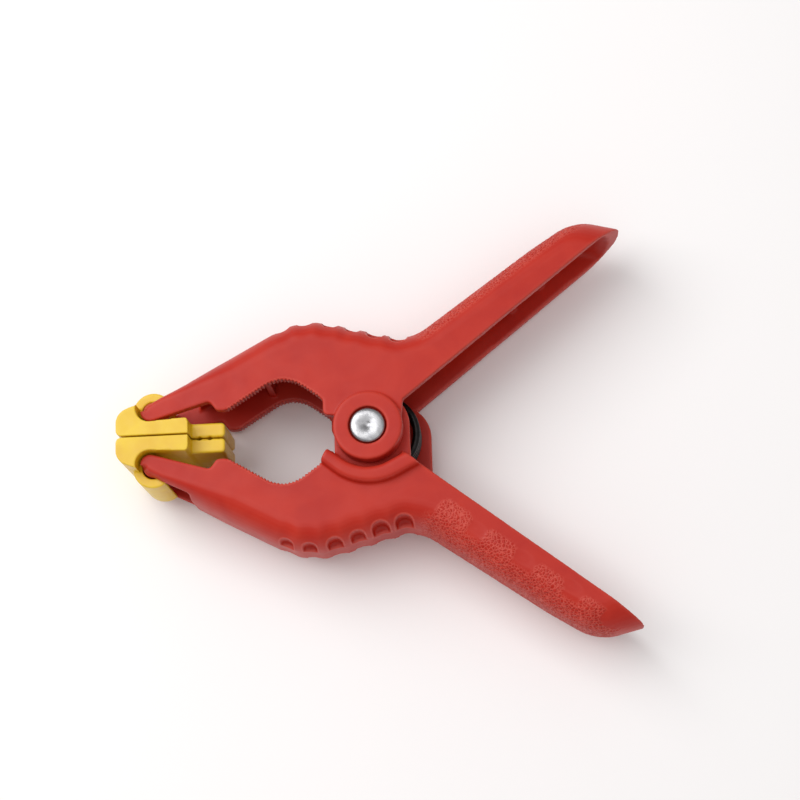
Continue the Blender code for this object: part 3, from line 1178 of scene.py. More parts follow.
def placed(x: float, y: float, offset: float) -> Place:
    """A profile point in its place: the handle's tip is round, and its width tapers.

    Args:
        x: the point's x.
        y: its outward y.
        offset: its offset from the middle plane.

    Returns:
        The place.
    """
    bend_radius = (SIZES.half_body ** 2 + SIZES.tip_sagitta ** 2) / (2 * SIZES.tip_sagitta)
    retreat = bend_radius - math.sqrt(bend_radius ** 2 - offset ** 2)
    cos, sin = math.cos(SIZES.handle_angle), math.sin(SIZES.handle_angle)
    reach = x * cos + y * sin
    share = min(max((reach - SIZES.round_start) / (SIZES.handle_reach - SIZES.round_start), 0.0), 1.0) ** 2
    return x - retreat * share * cos, y - retreat * share * sin, MID_Z + offset * slimness(reach)


def rounding_levels(height: float, inset: float, half_width: float, steps: int) -> list[tuple[float, float]]:
    """Offsets from the middle plane, each with how far the back is drawn in there, which round both edges.

    Args:
        height: how far the rounding reaches from a cheek towards the middle plane.
        inset: how far it reaches in from the back.
        half_width: from the middle plane to a cheek.
        steps: how many chords each rounding has.

    Returns:
        The pairs of offset and inset, from one cheek to the other.
    """
    turns = [math.pi / 2 * i / steps for i in range(steps + 1)]
    lower = [(-half_width + height * (1 - math.cos(turn)), inset * (1 - math.sin(turn))) for turn in turns]
    flat = half_width - height
    middle = [(flat * share, 0.0) for share in (-0.5, 0.0, 0.5)]
    return lower + middle + [(-offset, inset) for offset, inset in reversed(lower)]


class Arm:
    """One channel-shaped arm. The upper and lower arms differ at the pivot."""

    node = ""
    body = ""
    side = Side.UPPER
    # The cheek whose grip is grained: 1 for the near one, -1 for the far one.
    marked_cheek = -1
    pivot_corners: tuple[Corner, ...] = ()
    upper_pivot: tuple[Corner, ...] = (
        (*SIZES.on_open_face(9.3), 0.0), (7.0, 1.2, 0.8), (-9.4, 3.2, 1.0), (-9.4, 6.4, 0.8),
    )
    # The hollow's cutter beyond the arm: the far corners in front of the jaws, the nose and the back.
    hollow_front_depth = -8.0
    hollow_front: Point = (14.0, -4.0)
    hollow_nose_x, hollow_back_y = -55.0, 22.0
    # Where the teeth end, as the throat's largest x and outward y.
    teeth_end: Point = (-10.0, 14.0)

    def __init__(self) -> None:
        """Lays out the arm's outline."""
        self.profile = ArmProfile(self.pivot_corners)
        self.name = f"{self.node}_moulding"

    def outer_form(self) -> bpy.types.Object:
        """The arm's solid form with a rounded, wavy back.

        Returns:
            The form, closed and not hollow.
        """
        sections = []
        count = len(self.profile.back)
        for offset, rounding in rounding_levels(SIZES.edge_height, SIZES.edge_inset, SIZES.half_body, 9):
            back = respaced(self.profile.back_at(0.0, rounding, wavy=True), count)
            outline = [*back, *self.profile.inner]
            sections.append(self.mirrored(placed(x, y, offset) for x, y in outline))
        return loft(self.name, sections)

    def mirrored(self, points: Iterable[Place]) -> list[Place]:
        """The points on this arm's own side."""
        return [(x, self.side.value * y, z) for x, y, z in points]

    def hollow(self) -> bpy.types.Object:
        """The channel that is cut from the arm, which opens its back too at the forked nose.

        Returns:
            The cutter.
        """
        plan = ArmProfile(self.upper_pivot)
        edge, half_width = SIZES.channel_edge, SIZES.half_body - SIZES.wall
        front_x, front_y = self.hollow_front
        sections = []
        for offset, rounding in rounding_levels(edge, edge, half_width, 4):
            back = plan.back_at(SIZES.wall, rounding, wavy=False)
            wall = respaced([point for point in back if point[0] >= SIZES.fork_depth_x], HOLLOW_POINTS)
            tip = math.hypot(*wall[-1])
            outside = [
                SIZES.on_open_face(tip, self.hollow_front_depth), (front_x, front_y),
                (self.hollow_nose_x, front_y), (self.hollow_nose_x, self.hollow_back_y),
                (SIZES.fork_depth_x, self.hollow_back_y),
            ]
            sections.append(self.mirrored(placed(x, y, offset) for x, y in [*wall, *outside]))
        return loft("hollow", sections)

    def ribs(self) -> list[bpy.types.Object]:
        """The cross ribs between the cheeks. The first one in the handle seats a leg of the spring.

        Returns:
            The ribs.
        """
        low, high = MID_Z - SIZES.rib_half_width, MID_Z + SIZES.rib_half_width
        made = []
        for reach, top, thickness in HANDLE_RIBS:
            half = thickness / 2
            ends = ((-half, top), (half, top), (half, SIZES.rib_foot), (-half, SIZES.rib_foot))
            outline = [SIZES.on_open_face(reach + along, depth) for along, depth in ends]
            made.append(plate("rib", outline, low, high, self.side))
        half = SIZES.rib_wall / 2
        for x, bottom, top in JAW_RIBS:
            outline = [(x - half, bottom), (x + half, bottom), (x + half, top), (x - half, top)]
            made.append(plate("rib", outline, low, high, self.side))
        return made

    def pockets(self) -> list[bpy.types.Object]:
        """The cutters of the scallops along both edges of the back.

        Returns:
            Two cutters for each scallop, one at each cheek.
        """
        made = []
        floor, base, outside = SIZES.scallop_floor, SIZES.wave_height, -SIZES.scallop_overcut
        for scallop in SCALLOPS:
            here, inward = self.profile.frame_at(scallop.x)
            along = np.array([-inward[1], inward[0]])
            half = scallop.half_width
            arch = [(half * math.cos(turn), base + scallop.reach * math.sin(turn))
                    for turn in np.linspace(0.1, math.pi - 0.1, 16)]
            shape = [(half, outside), (half, base), *arch, (-half, base), (-half, outside)]
            outline = [tuple(here + along * u + inward * v) for u, v in shape]
            top = MID_Z + SIZES.half_body + CLEAR
            bottom = MID_Z - SIZES.half_body - CLEAR
            made.append(plate("pocket", outline, MID_Z + floor, top, self.side))
            made.append(plate("pocket", outline, bottom, MID_Z - floor, self.side))
        return made

    def shape(self) -> bpy.types.Object:
        """The arm as a sharp-edged solid, before the pivot is made.

        Returns:
            The solid.
        """
        arm = self.outer_form()
        combine(arm, [gathered("pockets", self.pockets())], "DIFFERENCE")
        combine(arm, [self.hollow()], "DIFFERENCE")
        bar_half = SIZES.half_body - SIZES.wall + SIZES.bar_seat
        centre = (SWIVEL.x, self.side.value * SWIVEL.y)
        bar = rod("nose_bar", SIZES.nose_bar_radius, MID_Z - bar_half, MID_Z + bar_half, centre, 48)
        combine(arm, [bar, *self.ribs()], "UNION")
        return arm

    def pivot(self, arm: bpy.types.Object) -> None:
        """Adds what the arm has at the pivot."""
        raise NotImplementedError

    def detail(self, skin: Skin) -> None:
        """Presses the teeth, grain, thumb marks and lips into the skin, and marks where the grain, thumb marks
        and lips are.

        Args:
            skin: the arm's even skin.
        """
        flat = skin.points[:, :2] * np.array([1.0, self.side.value])
        reach, depth = along_handle(flat)
        lift = np.abs(skin.points[:, 2] - MID_Z) / slimness(reach)
        behind = self.profile.depth_behind(flat)
        outside = self.on_outside(lift, behind)
        on_handle = outside & (reach > GRIP.start)
        marked = (skin.points[:, 2] - MID_Z) * self.marked_cheek > 0
        thumbs = self.thumb_marks(reach, depth) * marked
        patches = self.grain_patches(reach, depth) * (ramp(depth, *GRIP.patch_foot) * marked)
        on_back = ramp(behind, *GRIP.back_band) * ramp(reach, *GRIP.back_start) * ramp(reach, *GRIP.back_end)
        grain = np.where(on_handle, np.clip(np.maximum(patches, on_back) - thumbs, 0.0, 1.0), 0.0)
        thumbs = np.where(on_handle, thumbs, 0.0)
        height = np.zeros(len(flat))
        grained = np.flatnonzero(grain > GRIP.least_grain)
        dips = 0.5 - pebbles(skin.points[grained], PEBBLE_SIZE)
        height[grained] = dips * GRIP.pebble_height * grain[grained]
        height -= thumbs * GRIP.thumb_depth
        height += self.teeth(flat, lift)
        by_scallops = outside & (lift > SIZES.scallop_floor - LIPS.below_floor)
        lips = np.where(by_scallops, self.scallop_lips(flat, lift), 0.0)
        height += lips * SIZES.scallop_lip
        skin.push(height)
        skin.mark("grain", grain)
        skin.mark("polish", thumbs)
        # Painted highlight: edges and the scallop lips are marked to be painted paler.
        skin.mark("edge", np.maximum(skin.painted_edge_highlight(ARM_SKIN.highlight_gain) * (1 - grain), lips * LIPS.highlight_share))

    def on_outside(self, lift: np.ndarray, behind: np.ndarray) -> np.ndarray:
        """Tells the arm's outer skin from its channel.

        Args:
            lift: how far each point is from the middle plane.
            behind: how far it is from the back's line.

        Returns:
            True for each point on a cheek or on the rounded back.
        """
        over = np.maximum(lift - (SIZES.half_body - SIZES.edge_height), 0.0) / SIZES.edge_height
        under_back = np.maximum(SIZES.edge_inset - behind, 0.0) / SIZES.edge_inset
        return (lift > SIZES.half_body - GRIP.skin) | (np.hypot(over, under_back) > GRIP.bulge)

    @staticmethod
    def thumb_marks(reach: np.ndarray, depth: np.ndarray) -> np.ndarray:
        """The smooth oval thumb marks.

        Args:
            reach: how far along the handle each point is.
            depth: how far behind the open face it is.

        Returns:
            1 in a mark to 0 outside them all.
        """
        marks = np.zeros(len(reach))
        for centre, deep, half_length, half_width in THUMB_MARKS:
            away = np.hypot((reach - centre) / half_length, (depth - deep) / half_width)
            marks = np.maximum(marks, ramp(away, *GRIP.thumb_fade))
        return marks

    @staticmethod
    def grain_patches(reach: np.ndarray, depth: np.ndarray) -> np.ndarray:
        """The grained patches of a cheek, which narrow towards the open face.

        Args:
            reach: how far along the handle each point is.
            depth: how far behind the open face it is.

        Returns:
            1 in a patch to 0 outside them all.
        """
        patches = np.zeros(len(reach))
        fall = np.abs(depth - GRIP.patch_middle) / GRIP.patch_fall
        narrowing = np.clip(GRIP.patch_fullness - fall, GRIP.patch_least, 1.0)
        for start, end in GRAIN_RUNS:
            centre, half = (start + end) / 2, (end - start) / 2
            past_edge = np.abs(reach - centre) - half * narrowing
            patches = np.maximum(patches, ramp(past_edge, GRIP.patch_fade, -GRIP.patch_fade))
        return patches

    def scallop_lips(self, flat: np.ndarray, lift: np.ndarray) -> np.ndarray:
        """The thin raised line round each scallop.

        Args:
            flat: x and outward y of each point.
            lift: how far it is from the middle plane.

        Returns:
            1 on the line to 0 away from it.
        """
        lips = np.zeros(len(flat))
        for scallop in SCALLOPS:
            here, inward = self.profile.frame_at(scallop.x)
            along = np.array([-inward[1], inward[0]])
            u, v = (flat - here) @ along, (flat - here) @ inward - SIZES.wave_height
            away = np.hypot(u / scallop.half_width, np.maximum(v, 0.0) / scallop.reach)
            arch = ramp(np.abs(away - LIPS.arch_ratio), *LIPS.arch_fade) * (v < LIPS.arch_depth)
            past_foot = np.abs(lift - SIZES.scallop_floor + LIPS.foot_drop)
            foot = ramp(past_foot, *LIPS.foot_fade) * (away < LIPS.foot_ratio)
            lips = np.maximum(lips, np.maximum(arch, foot))
        return lips

    def teeth(self, flat: np.ndarray, lift: np.ndarray) -> np.ndarray:
        """The fine teeth along the throat's edge of each cheek.

        Args:
            flat: x and outward y of each point.
            lift: how far it is from the middle plane.

        Returns:
            A height for each point, below 0 between two teeth.
        """
        line = spaced(self.profile.throat, TOOTH_SPACING)
        runs = np.arange(len(line)) * TOOTH_SPACING
        last_x, last_y = self.teeth_end
        in_cheek = lift > SIZES.half_body - SIZES.wall - 0.4
        near = np.flatnonzero(
            (flat[:, 0] > line[:, 0].min() - 1) & (flat[:, 0] < last_x) & (flat[:, 1] < last_y) & in_cheek
        )
        height = np.zeros(len(flat))
        for i in near:
            away = np.hypot(line[:, 0] - flat[i, 0], line[:, 1] - flat[i, 1])
            index = int(away.argmin())
            if away[index] < SIZES.tooth_reach:
                swing = math.cos(2 * math.pi * runs[index] / SIZES.tooth_pitch)
                height[i] = -SIZES.tooth_depth * 0.5 * (1 - swing) * (1 - away[index] / SIZES.tooth_fade)
        return height

    def build(self) -> bpy.types.Object:
        """Makes the arm's finished mesh.

        Returns:
            The arm.
        """
        arm = self.shape()
        self.pivot(arm)
        self.detail(remeshed(arm, ARM_SKIN.cell, ARM_SKIN.rounds))
        thinned(arm, ARM_SKIN.triangles)
        return arm

    def dress(self, arm: bpy.types.Object, nylon: bpy.types.Material) -> None:
        """Gives the arm its finish and its place on the frame."""
        finish_piece(arm, nylon, Slot.NYLON, self.body, self.node)


def finish_piece(
    piece: bpy.types.Object, material: bpy.types.Material, slot: Slot, body: str | None, *nodes: str
) -> None:
    """Gives a piece its finish and its place on the frame.

    Args:
        piece: the piece.
        material: its finish.
        slot: its slot in the record.
        body: the body that it rides on, or None for a piece that rides on no body.
        nodes: the frame's nodes that it stands for.
    """
    piece.data.materials.clear()
    piece.data.materials.append(material)
    if body:
        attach(piece, body)
    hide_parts(*nodes)
    LOG.info("%s: %d points, %s", piece.name, len(piece.data.vertices), slot.value)


class UpperArm(Arm):
    """The arm with the outer ears: a round boss on each cheek, level with the lower arm's rims."""

    node = "upper_arm"
    body = "upper_half"
    side = Side.UPPER
    pivot_corners = Arm.upper_pivot

    def pivot(self, arm: bpy.types.Object) -> None:
        """Adds the bosses and bores them for the pin, its head and its washer.

        Args:
            arm: the arm's solid.
        """
        depth = SIZES.rim_height + SIZES.wall - SIZES.overlap
        radius, soft = SIZES.boss_radius, SIZES.boss_softness
        far = turned("far_boss", [
            (0.0, 0.0), (radius - soft, 0.0), (radius, soft), (radius, depth), (0.0, depth),
        ])
        near = turned("near_boss", [
            (0.0, TOP_Z - depth), (radius, TOP_Z - depth), (radius, TOP_Z - soft), (radius - soft, TOP_Z),
            (0.0, TOP_Z),
        ])
        combine(arm, [far, near], "UNION")
        seat = SIZES.pin_seat_depth
        combine(arm, [
            rod("bore", SIZES.pin_hole_radius, -CLEAR, TOP_Z + CLEAR),
            rod("far_seat", SIZES.pin_seat_radius, -CLEAR, seat),
            rod("near_seat", SIZES.pin_seat_radius, TOP_Z - seat, TOP_Z + CLEAR),
        ], "DIFFERENCE")


class LowerArm(Arm):
    """The arm with the inner ears, which lie in round pockets with a raised rim, under the upper bosses."""

    node = "lower_arm"
    body = "lower_half"
    side = Side.LOWER
    marked_cheek = 1
    pivot_corners = ((*SIZES.on_open_face(8.0), 0.0), (-9.4, 4.7, 0.3), (-9.4, 6.5, 0.8))
    pocket_radius = 8.9
    rim_inner_radius = 8.7
    rim_outer_radius = 12.3
    rim_left_x = -9.7
    rim_left_slope = math.radians(37.0)
    rim_right_slope = math.radians(27.0)
    rim_left_thinning = 0.8
    rim_softness = 1.15
    # How far the rim is drawn past its ends before they are cut off.
    rim_spare = 2.5
    # How far behind the handle's open face the rim's right end stops.
    rim_behind_face = 0.15
    rim_overlap = 0.3
    # The cutters of the rim's ends: the face cutter's first two x and its far corners, and the throat cutter.
    face_cut_x: Point = (4.0, 20.0)
    face_cut_corners: tuple[Point, ...] = ((26.0, 8.0), (10.0, -4.0))
    throat_cut: tuple[Point, ...] = ((-5.4, -2.0), (-13.6, 14.0), (-22.0, 14.0), (-22.0, -2.0))
    ear_left_x, ear_top_y, ear_corner = -7.4, -8.0, 7.0
    # The ear's hidden corners under the rim, and its right side's slope.
    ear_foot: tuple[Corner, ...] = ((-7.4, 8.6, 0.0), (-2.0, 12.0, 0.0), (4.0, 11.2, 0.0))
    ear_right_slope = 0.82
    ear_right_x = {"near": 8.5, "far": 12.4}
    ear_wall = 2.2
    spool_radius = 5.2
    spool_overlap = 0.5
    spool_half_gap = 0.2

    def rim_outline(self) -> list[Point]:
        """The raised U-shaped rim around the seat, a little too long at both ends.

        Returns:
            The outline's points.
        """
        left, right = self.rim_left_slope, self.rim_right_slope
        slope = math.tan(SIZES.handle_angle)

        def corner(radius: float) -> Corner:
            """Where the two straight ends, tangent to a radius about the pivot, would meet.

            Args:
                radius: the radius.

            Returns:
                The corner, rounded by that radius.
            """
            rise_left, rise_right = radius / math.cos(left), radius / math.cos(right)
            x = (rise_right - rise_left) / (math.tan(left) + math.tan(right))
            return x, rise_left + math.tan(left) * x, radius

        def right_end(radius: float) -> Corner:
            """A point beyond the rim's end on a line along the handle's open face."""
            x = (radius / math.cos(right) + self.rim_spare) / (slope + math.tan(right))
            return x, slope * x - self.rim_spare, 0.0

        def left_end(radius: float) -> Corner:
            """A point beyond the rim's end over the throat."""
            x = self.rim_left_x - self.rim_spare
            return x, radius / math.cos(left) + math.tan(left) * x, 0.0

        inner, outer = self.rim_inner_radius, self.rim_outer_radius
        return rounded([
            right_end(inner), corner(inner), left_end(inner),
            left_end(outer - self.rim_left_thinning), corner(outer), right_end(outer),
        ])

    def rim(self, low: float, high: float) -> bpy.types.Object:
        """A rim with soft long edges, its ends cut off in line with the handle and over the throat.

        Args:
            low: the height of its lower face.
            high: the height of its upper face.

        Returns:
            The rim.
        """
        made = soft_plate("rim", self.rim_outline(), low, high, self.side, self.rim_softness)
        slope, behind = math.tan(SIZES.handle_angle), self.rim_behind_face / math.cos(SIZES.handle_angle)
        face_cut = [(x, x * slope + behind) for x in self.face_cut_x]
        outlines = ([*face_cut, *self.face_cut_corners], self.throat_cut)
        cutters = [plate("end_cut", outline, low - CLEAR, high + CLEAR, self.side) for outline in outlines]
        combine(made, cutters, "DIFFERENCE")
        return made

    def ear_outline(self, right_x: float) -> list[Point]:
        """An inner ear: round over the pivot, and reaching under the rim.

        Args:
            right_x: the x of its right side.

        Returns:
            The outline's points.
        """
        return rounded([
            (self.ear_left_x, self.ear_top_y, self.ear_corner), *self.ear_foot,
            (right_x, right_x * self.ear_right_slope, 0.0), (right_x, self.ear_top_y, self.ear_corner),
        ])

    def pivot(self, arm: bpy.types.Object) -> None:
        """Sinks the pockets, and adds the rims, the ears, the coil's spool and the pin's hole.

        Args:
            arm: the arm's solid.
        """
        low = SIZES.rim_height + SIZES.wall + SIZES.gap
        high = low + self.ear_wall
        combine(arm, [
            rod("far_pocket", self.pocket_radius, -CLEAR, low),
            rod("near_pocket", self.pocket_radius, TOP_Z - low, TOP_Z + CLEAR),
        ], "DIFFERENCE")
        far_ear, near_ear = (self.ear_outline(self.ear_right_x[end]) for end in ("far", "near"))
        spool_start, spool_end = high - self.spool_overlap, MID_Z - self.spool_half_gap
        near_end = TOP_Z - high + self.spool_overlap
        combine(arm, [
            self.rim(0.0, high - self.rim_overlap),
            self.rim(TOP_Z - high + self.rim_overlap, TOP_Z),
            plate("far_ear", far_ear, low, high, self.side),
            plate("near_ear", near_ear, TOP_Z - high, TOP_Z - low, self.side),
            rod("far_spool", self.spool_radius, spool_start, spool_end),
            rod("near_spool", self.spool_radius, MID_Z + self.spool_half_gap, near_end),
        ], "UNION")
        combine(arm, [rod("bore", SIZES.pin_hole_radius, -CLEAR, TOP_Z + CLEAR)], "DIFFERENCE")


# ----------------------------------------------------------------------------------------------------
# The pads, spring, pin and washer


@dataclass(frozen=True)
class JawPad:
    """A swivel pad: a bar with a round toe, a tail between the cheeks and a hook on the nose bar."""

    side: Side
    node: str
    body: str
    front_x: float = -52.9
    flange_rear_x: float = -37.6
    rear_x: float = -30.5
    face_y: float = 0.15
    back_y: float = 3.4
    back_radius: float = 0.9
    # The corners of the toe: below, in front and above.
    toe_radius: float = 1.2
    toe_corner: Corner = (-52.9, 5.2, 3.4)
    toe_top: Corner = (-49.2, 6.6, 0.5)
    recess_radius: float = 2.9
    recess_ends: tuple[float, float] = (math.radians(-90), math.radians(-197))
    hook_radius: float = 4.3
    hook_bore: float = 2.3
    hook_start: float = math.radians(-150)
    hook_end: float = math.radians(-310)
    hook_return: float = math.radians(-90)
    hook_root_x: float = -50.5
    hook_root_y: float = 1.5
    hook_softness: float = 0.35
    tail_drop: float = 0.2
    tail_radius: float = 0.8
    tail_overlap: float = 2.0
    tail_softness: float = 0.4
    groove_depth: float = 0.22
    groove_pitch: float = 2.2

    def bar_outline(self) -> list[Point]:
        """The bar with its toe and the hollow that the arm's nose turns in.

        Returns:
            The outline's points.
        """
        recess = arc((SWIVEL.x, SWIVEL.y), self.recess_radius, *self.recess_ends, 24)
        bar = rounded([
            (self.flange_rear_x, self.back_y, self.back_radius), (self.flange_rear_x, self.face_y, 0.0),
            (self.front_x, self.face_y, self.toe_radius), self.toe_corner, self.toe_top,
        ])
        return bar + list(reversed(recess))

    def hook_outline(self) -> list[Point]:
        """The hook, open on one side so that it snaps over the bar.

        Returns:
            The outline's points.
        """
        centre = (SWIVEL.x, SWIVEL.y)
        outer = arc(centre, self.hook_radius, self.hook_start, self.hook_end, 30)
        inner = arc(centre, self.hook_bore, self.hook_end, self.hook_return, 36)
        root_y = self.face_y + self.hook_root_y
        return outer + inner + [(SWIVEL.x, root_y), (self.hook_root_x, root_y)]

    def tail_outline(self) -> list[Point]:
        """The narrower tail, which begins inside the bar.

        Returns:
            The outline's points.
        """
        back, start = self.back_y - self.tail_drop, self.flange_rear_x - self.tail_overlap
        return rounded([
            (self.rear_x, back, self.tail_radius), (self.rear_x, self.face_y, self.tail_radius),
            (start, self.face_y, 0.0), (start, back, 0.0),
        ])

    def build(self) -> bpy.types.Object:
        """Makes the pad's finished mesh.

        Returns:
            The pad.
        """
        pad = plate(f"{self.node}_moulding", self.bar_outline(), 0.0, TOP_Z, self.side)
        low = MID_Z - SIZES.half_body + SIZES.wall + SIZES.gap
        hook = soft_plate("hook", self.hook_outline(), low, TOP_Z - low, self.side, self.hook_softness)
        tail_low, tail_high = low + SIZES.overlap, TOP_Z - low - SIZES.overlap
        tail = soft_plate("tail", self.tail_outline(), tail_low, tail_high, self.side, self.tail_softness)
        combine(pad, [hook, tail], "UNION")
        skin = remeshed(pad, PAD_SKIN.cell, PAD_SKIN.rounds)
        skin.push(self.grooves(skin))
        # Marks the edges for the painted highlight.
        skin.mark("edge", skin.painted_edge_highlight(PAD_SKIN.highlight_gain))
        thinned(pad, PAD_SKIN.triangles)
        return pad

    def grooves(self, skin: Skin) -> np.ndarray:
        """Shallow cross grooves on the clamping face, which fade out before its edges.

        Args:
            skin: the pad's even skin.

        Returns:
            A height for each point, below 0 in a groove.
        """
        x, y = skin.points[:, 0], skin.points[:, 1] * self.side.value
        wave = 0.5 - 0.5 * np.cos(2 * math.pi * (x - self.rear_x) / self.groove_pitch)
        inside = ramp(x, self.front_x + 1.5, self.front_x + 2.5)
        inside = inside * ramp(x, self.rear_x - 1.0, self.rear_x - 2.0)
        inside *= ramp(np.abs(skin.points[:, 2] - MID_Z), MID_Z - 1.2, MID_Z - 1.8)
        return -np.where(y < self.face_y + 0.3, self.groove_depth * wave ** 3 * inside, 0.0)

    def dress(self, pad: bpy.types.Object, yellow: bpy.types.Material) -> None:
        """Gives the pad its finish and its place on the frame."""
        finish_piece(pad, yellow, Slot.PAD, self.body, self.node)


@dataclass(frozen=True)
class TorsionSpring:
    """The coil round the spool, with a leg along each handle's channel. It winds up as the handles close."""

    wire_radius: float = 0.8
    coil_radius: float = 8.0
    offset_x: float = 1.7
    turns: int = 4
    steps_a_turn: int = 72
    pitch: float = 1.78
    leg_angle: float = math.radians(32.0)
    leg_length: float = 24.0
    leg_steps: int = 16
    # Points of the finished mesh, in metres, that lie closer than this are one point.
    weld: float = 1e-6

    def route(self) -> list[Vector]:
        """The wire's middle line.

        Returns:
            The points of one leg, the coil and the other leg.
        """
        height = self.pitch * (self.turns + 0.5)
        start = -(math.pi / 2 + self.leg_angle)
        sweep = -(2 * math.pi * self.turns + (math.pi - 2 * self.leg_angle))
        steps = self.steps_a_turn * self.turns
        coil = []
        for i in range(steps + 1):
            share = i / steps
            turn = start + sweep * share
            coil.append(Vector((
                self.offset_x + self.coil_radius * math.cos(turn), self.coil_radius * math.sin(turn),
                MID_Z - height / 2 + height * share,
            )))
        return list(reversed(self.leg(coil[0], -1))) + coil + self.leg(coil[-1], 1)

    def leg(self, base: Vector, way: int) -> list[Vector]:
        """A leg of the spring.

        Args:
            base: where it leaves the coil.
            way: 1 for the upper handle, -1 for the lower one.

        Returns:
            The leg's points, from the coil outward.
        """
        along = Vector((math.cos(self.leg_angle), way * math.sin(self.leg_angle), 0))
        return [base + along * self.leg_length * i / self.leg_steps for i in range(1, self.leg_steps + 1)]

    def build(self) -> bpy.types.Object:
        """Makes the spring's finished mesh, with its cut ends.

        Returns:
            The spring.
        """
        route = self.route()
        curve = bpy.data.curves.new("torsion_spring_wire", "CURVE")
        curve.dimensions = "3D"
        curve.bevel_depth = self.wire_radius * MM
        curve.bevel_resolution = 6
        curve.use_fill_caps = True
        spline = curve.splines.new("POLY")
        spline.points.add(len(route) - 1)
        for point, place in zip(spline.points, route):
            point.co = (*(place * MM), 1.0)
        wire = bpy.data.objects.new("wire", curve)
        bpy.context.scene.collection.objects.link(wire)
        bpy.context.view_layer.update()
        mesh = bpy.data.meshes.new_from_object(wire.evaluated_get(bpy.context.evaluated_depsgraph_get()))
        discard([wire])
        shape = bmesh.new()
        shape.from_mesh(mesh)
        bmesh.ops.remove_doubles(shape, verts=shape.verts, dist=self.weld)
        shape.to_mesh(mesh)
        shape.free()
        mesh.shade_smooth()
        mesh.set_sharp_from_angle(angle=math.radians(50))
        return put_in_scene("torsion_spring_wire", mesh)

    def dress(self, spring: bpy.types.Object, black: bpy.types.Material) -> None:
        """Gives the spring its finish and bakes its place into its mesh; it rides on neither arm.

        Args:
            spring: the spring's object.
            black: the wire's finish.
        """
        finish_piece(spring, black, Slot.SPRING, None, "torsion_spring")
        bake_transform(spring)


@dataclass(frozen=True)
class PivotPin:
    """The steel pin, with a domed head sunk in the near boss and a chamfered end in the far one."""

    radius: float = 2.1
    chamfer: float = 0.35
    head_radius: float = 3.7
    head_height: float = 1.0
    # The head's lower edge, as a step inward and a step up.
    head_foot: Point = (0.1, 0.12)
    # The head's curve: how far in from its edge and how far down from its top.
    head_curve: tuple[Point, ...] = ((0.0, 0.5), (0.12, 0.28), (0.45, 0.1), (0.9, 0.0))
    # The dimple in its middle: radius, and how far down from its top.
    dimple: tuple[Point, ...] = ((1.0, 0.0), (0.6, 0.25), (0.0, 0.4))

    def build(self) -> bpy.types.Object:
        """Makes the pin.

        Returns:
            The pin.
        """
        head, under = self.head_radius, TOP_Z - self.head_height
        step_in, step_up = self.head_foot
        pin = turned("pivot_pin_turned", [
            (0.0, 0.0), (self.radius - self.chamfer, 0.0), (self.radius, self.chamfer), (self.radius, under),
            (head - step_in, under), (head, under + step_up),
            *((head - inward, TOP_Z - down) for inward, down in self.head_curve),
            *((radius, TOP_Z - down) for radius, down in self.dimple),
        ], 96)
        pin.data.shade_smooth()
        pin.data.set_sharp_from_angle(angle=math.radians(38))
        return pin


@dataclass(frozen=True)
class RetainingWasher:
    """The push-on washer: a thin dished ring with teeth that bite the pin."""

    bore: float = 2.35
    radius: float = 3.7
    low: float = 0.15
    height: float = 0.8
    edge: float = 0.15
    edge_height: float = 0.4
    flange: Point = (0.5, 0.45)
    tooth_width: float = 0.35
    teeth: int = 6
    # The slit between two teeth: its inner and outer reach, and half its width.
    slit_reach: tuple[float, float] = (2.0, 3.0)
    slit_half: float = 0.22
    slit_overcut: float = 0.5

    def build(self) -> bpy.types.Object:
        """Makes the washer.

        Returns:
            The washer.
        """
        top, (flange_in, flange_up) = self.low + self.height, self.flange
        washer = turned("retaining_washer_pressed", [
            (self.bore, self.low), (self.radius - self.edge, self.low), (self.radius, self.low + self.edge),
            (self.radius, self.low + self.edge_height), (self.radius - flange_in, self.low + flange_up),
            (self.bore + self.tooth_width, top), (self.bore, top), (self.bore, self.low),
        ], 96)
        (inner, outer), half = self.slit_reach, self.slit_half
        slits = []
        for i in range(self.teeth):
            turn = 2 * math.pi * i / self.teeth
            along = Vector((math.cos(turn), math.sin(turn)))
            across = Vector((-math.sin(turn), math.cos(turn)))
            corners = ((inner, -half), (outer, -half), (outer, half), (inner, half))
            outline = [tuple(along * u + across * v) for u, v in corners]
            slits.append(plate("slit", outline, self.low - self.slit_overcut, top + self.slit_overcut))
        combine(washer, slits, "DIFFERENCE")
        washer.data.shade_smooth()
        washer.data.set_sharp_from_angle(angle=math.radians(30))
        return washer


# ----------------------------------------------------------------------------------------------------
# The studio


@dataclass(frozen=True)
class Lamp:
    """A soft square lamp that points at the clamp: its place and side in metres, its power in watts."""

    name: str
    place: Place
    size: float
    power: float
    colour: tuple[float, float, float] = (1.0, 0.995, 0.99)

    def build(self) -> None:
        """Hangs the lamp."""
        lamp = bpy.data.lights.new(self.name, "AREA")
        lamp.size = self.size
        lamp.energy = self.power
        lamp.color = self.colour
        holder = bpy.data.objects.new(self.name, lamp)
        bpy.context.scene.collection.objects.link(holder)
        holder.location = self.place
        holder.rotation_euler = (-Vector(self.place)).to_track_quat("-Z", "Y").to_euler()


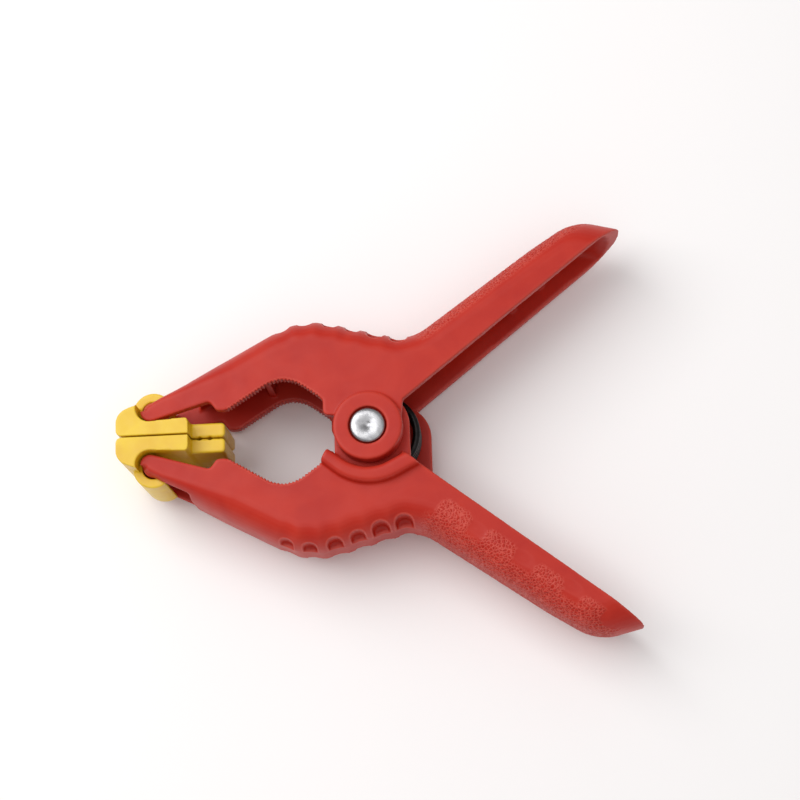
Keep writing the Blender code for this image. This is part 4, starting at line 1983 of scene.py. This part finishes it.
@dataclass(frozen=True)
class Studio:
    """A plain pale table, soft light from above and the camera that looks down on the clamp."""

    table_half: float = 1.2
    table_gap: float = 0.0001
    lamps: tuple[Lamp, ...] = (
        Lamp("window_light", (-0.3, 0.18, 0.5), 0.5, 2.45),
        Lamp("overhead_fill", (0.15, -0.1, 0.9), 0.9, 1.9),
    )
    room_colour: Colour = (1.0, 0.99, 0.985, 1.0)
    room_light: float = 0.46
    eye: Place = (0.0313, -0.0967, 0.4133)
    look: Place = (-0.0603, 0.2520, -0.9658)
    up: Place = (0.0502, 0.9671, 0.2492)
    lens: float = 87.3
    sensor_width: float = 36.0
    nearest: float = 0.01

    def build(self) -> None:
        """Sets out the table, the lamps, the room's light and the camera."""
        self.lay_table()
        for lamp in self.lamps:
            lamp.build()
        self.light_world()
        self.aim_camera()

    def lay_table(self) -> None:
        """Lays the table's top just under the clamp."""
        shape = bmesh.new()
        bmesh.ops.create_grid(shape, x_segments=1, y_segments=1, size=self.table_half)
        mesh = bpy.data.meshes.new("table_top")
        shape.to_mesh(mesh)
        shape.free()
        mesh.materials.append(TableFinish().build())
        top = put_in_scene("table_top", mesh)
        top.location.z = -self.table_gap

    def light_world(self) -> None:
        """Gives even pale light from all round."""
        world = bpy.data.worlds.new("pale_room")
        world.use_nodes = True
        background = world.node_tree.nodes["Background"]
        background.inputs["Color"].default_value = self.room_colour
        background.inputs["Strength"].default_value = self.room_light
        bpy.context.scene.world = world
        bpy.context.scene.view_settings.view_transform = "Standard"

    def aim_camera(self) -> None:
        """Sets the camera above the clamp, tilted a little from straight down."""
        camera = bpy.data.objects.new("camera", bpy.data.cameras.new("camera"))
        bpy.context.scene.collection.objects.link(camera)
        camera.data.lens = self.lens
        camera.data.sensor_width = self.sensor_width
        camera.data.clip_start = self.nearest
        forward, up = Vector(self.look).normalized(), Vector(self.up)
        right = forward.cross(up).normalized()
        up = right.cross(forward)
        turn = Matrix((right, up, -forward)).transposed()
        camera.matrix_world = Matrix.Translation(self.eye) @ turn.to_4x4()
        bpy.context.scene.camera = camera


def main() -> None:
    """Builds the clamp piece by piece, then the studio."""
    logging.basicConfig(level=logging.INFO, format="%(name)s: %(message)s")
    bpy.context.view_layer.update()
    nylon, yellow = NylonFinish().build(), PadFinish().build()
    black, plated = BLACK_WIRE.build(), PLATED.build()
    for arm in (LowerArm(), UpperArm()):
        arm.dress(arm.build(), nylon)
    for pad in (
        JawPad(Side.LOWER, "lower_jaw_pad", "lower_pad"),
        JawPad(Side.UPPER, "upper_jaw_pad", "upper_pad"),
    ):
        pad.dress(pad.build(), yellow)
    spring = TorsionSpring()
    spring.dress(spring.build(), black)
    finish_piece(PivotPin().build(), plated, Slot.STEEL, "lower_half", "pivot_pin")
    finish_piece(RetainingWasher().build(), plated, Slot.STEEL, "lower_half", "retaining_washer")
    Studio().build()


if __name__ == "__main__":
    main()
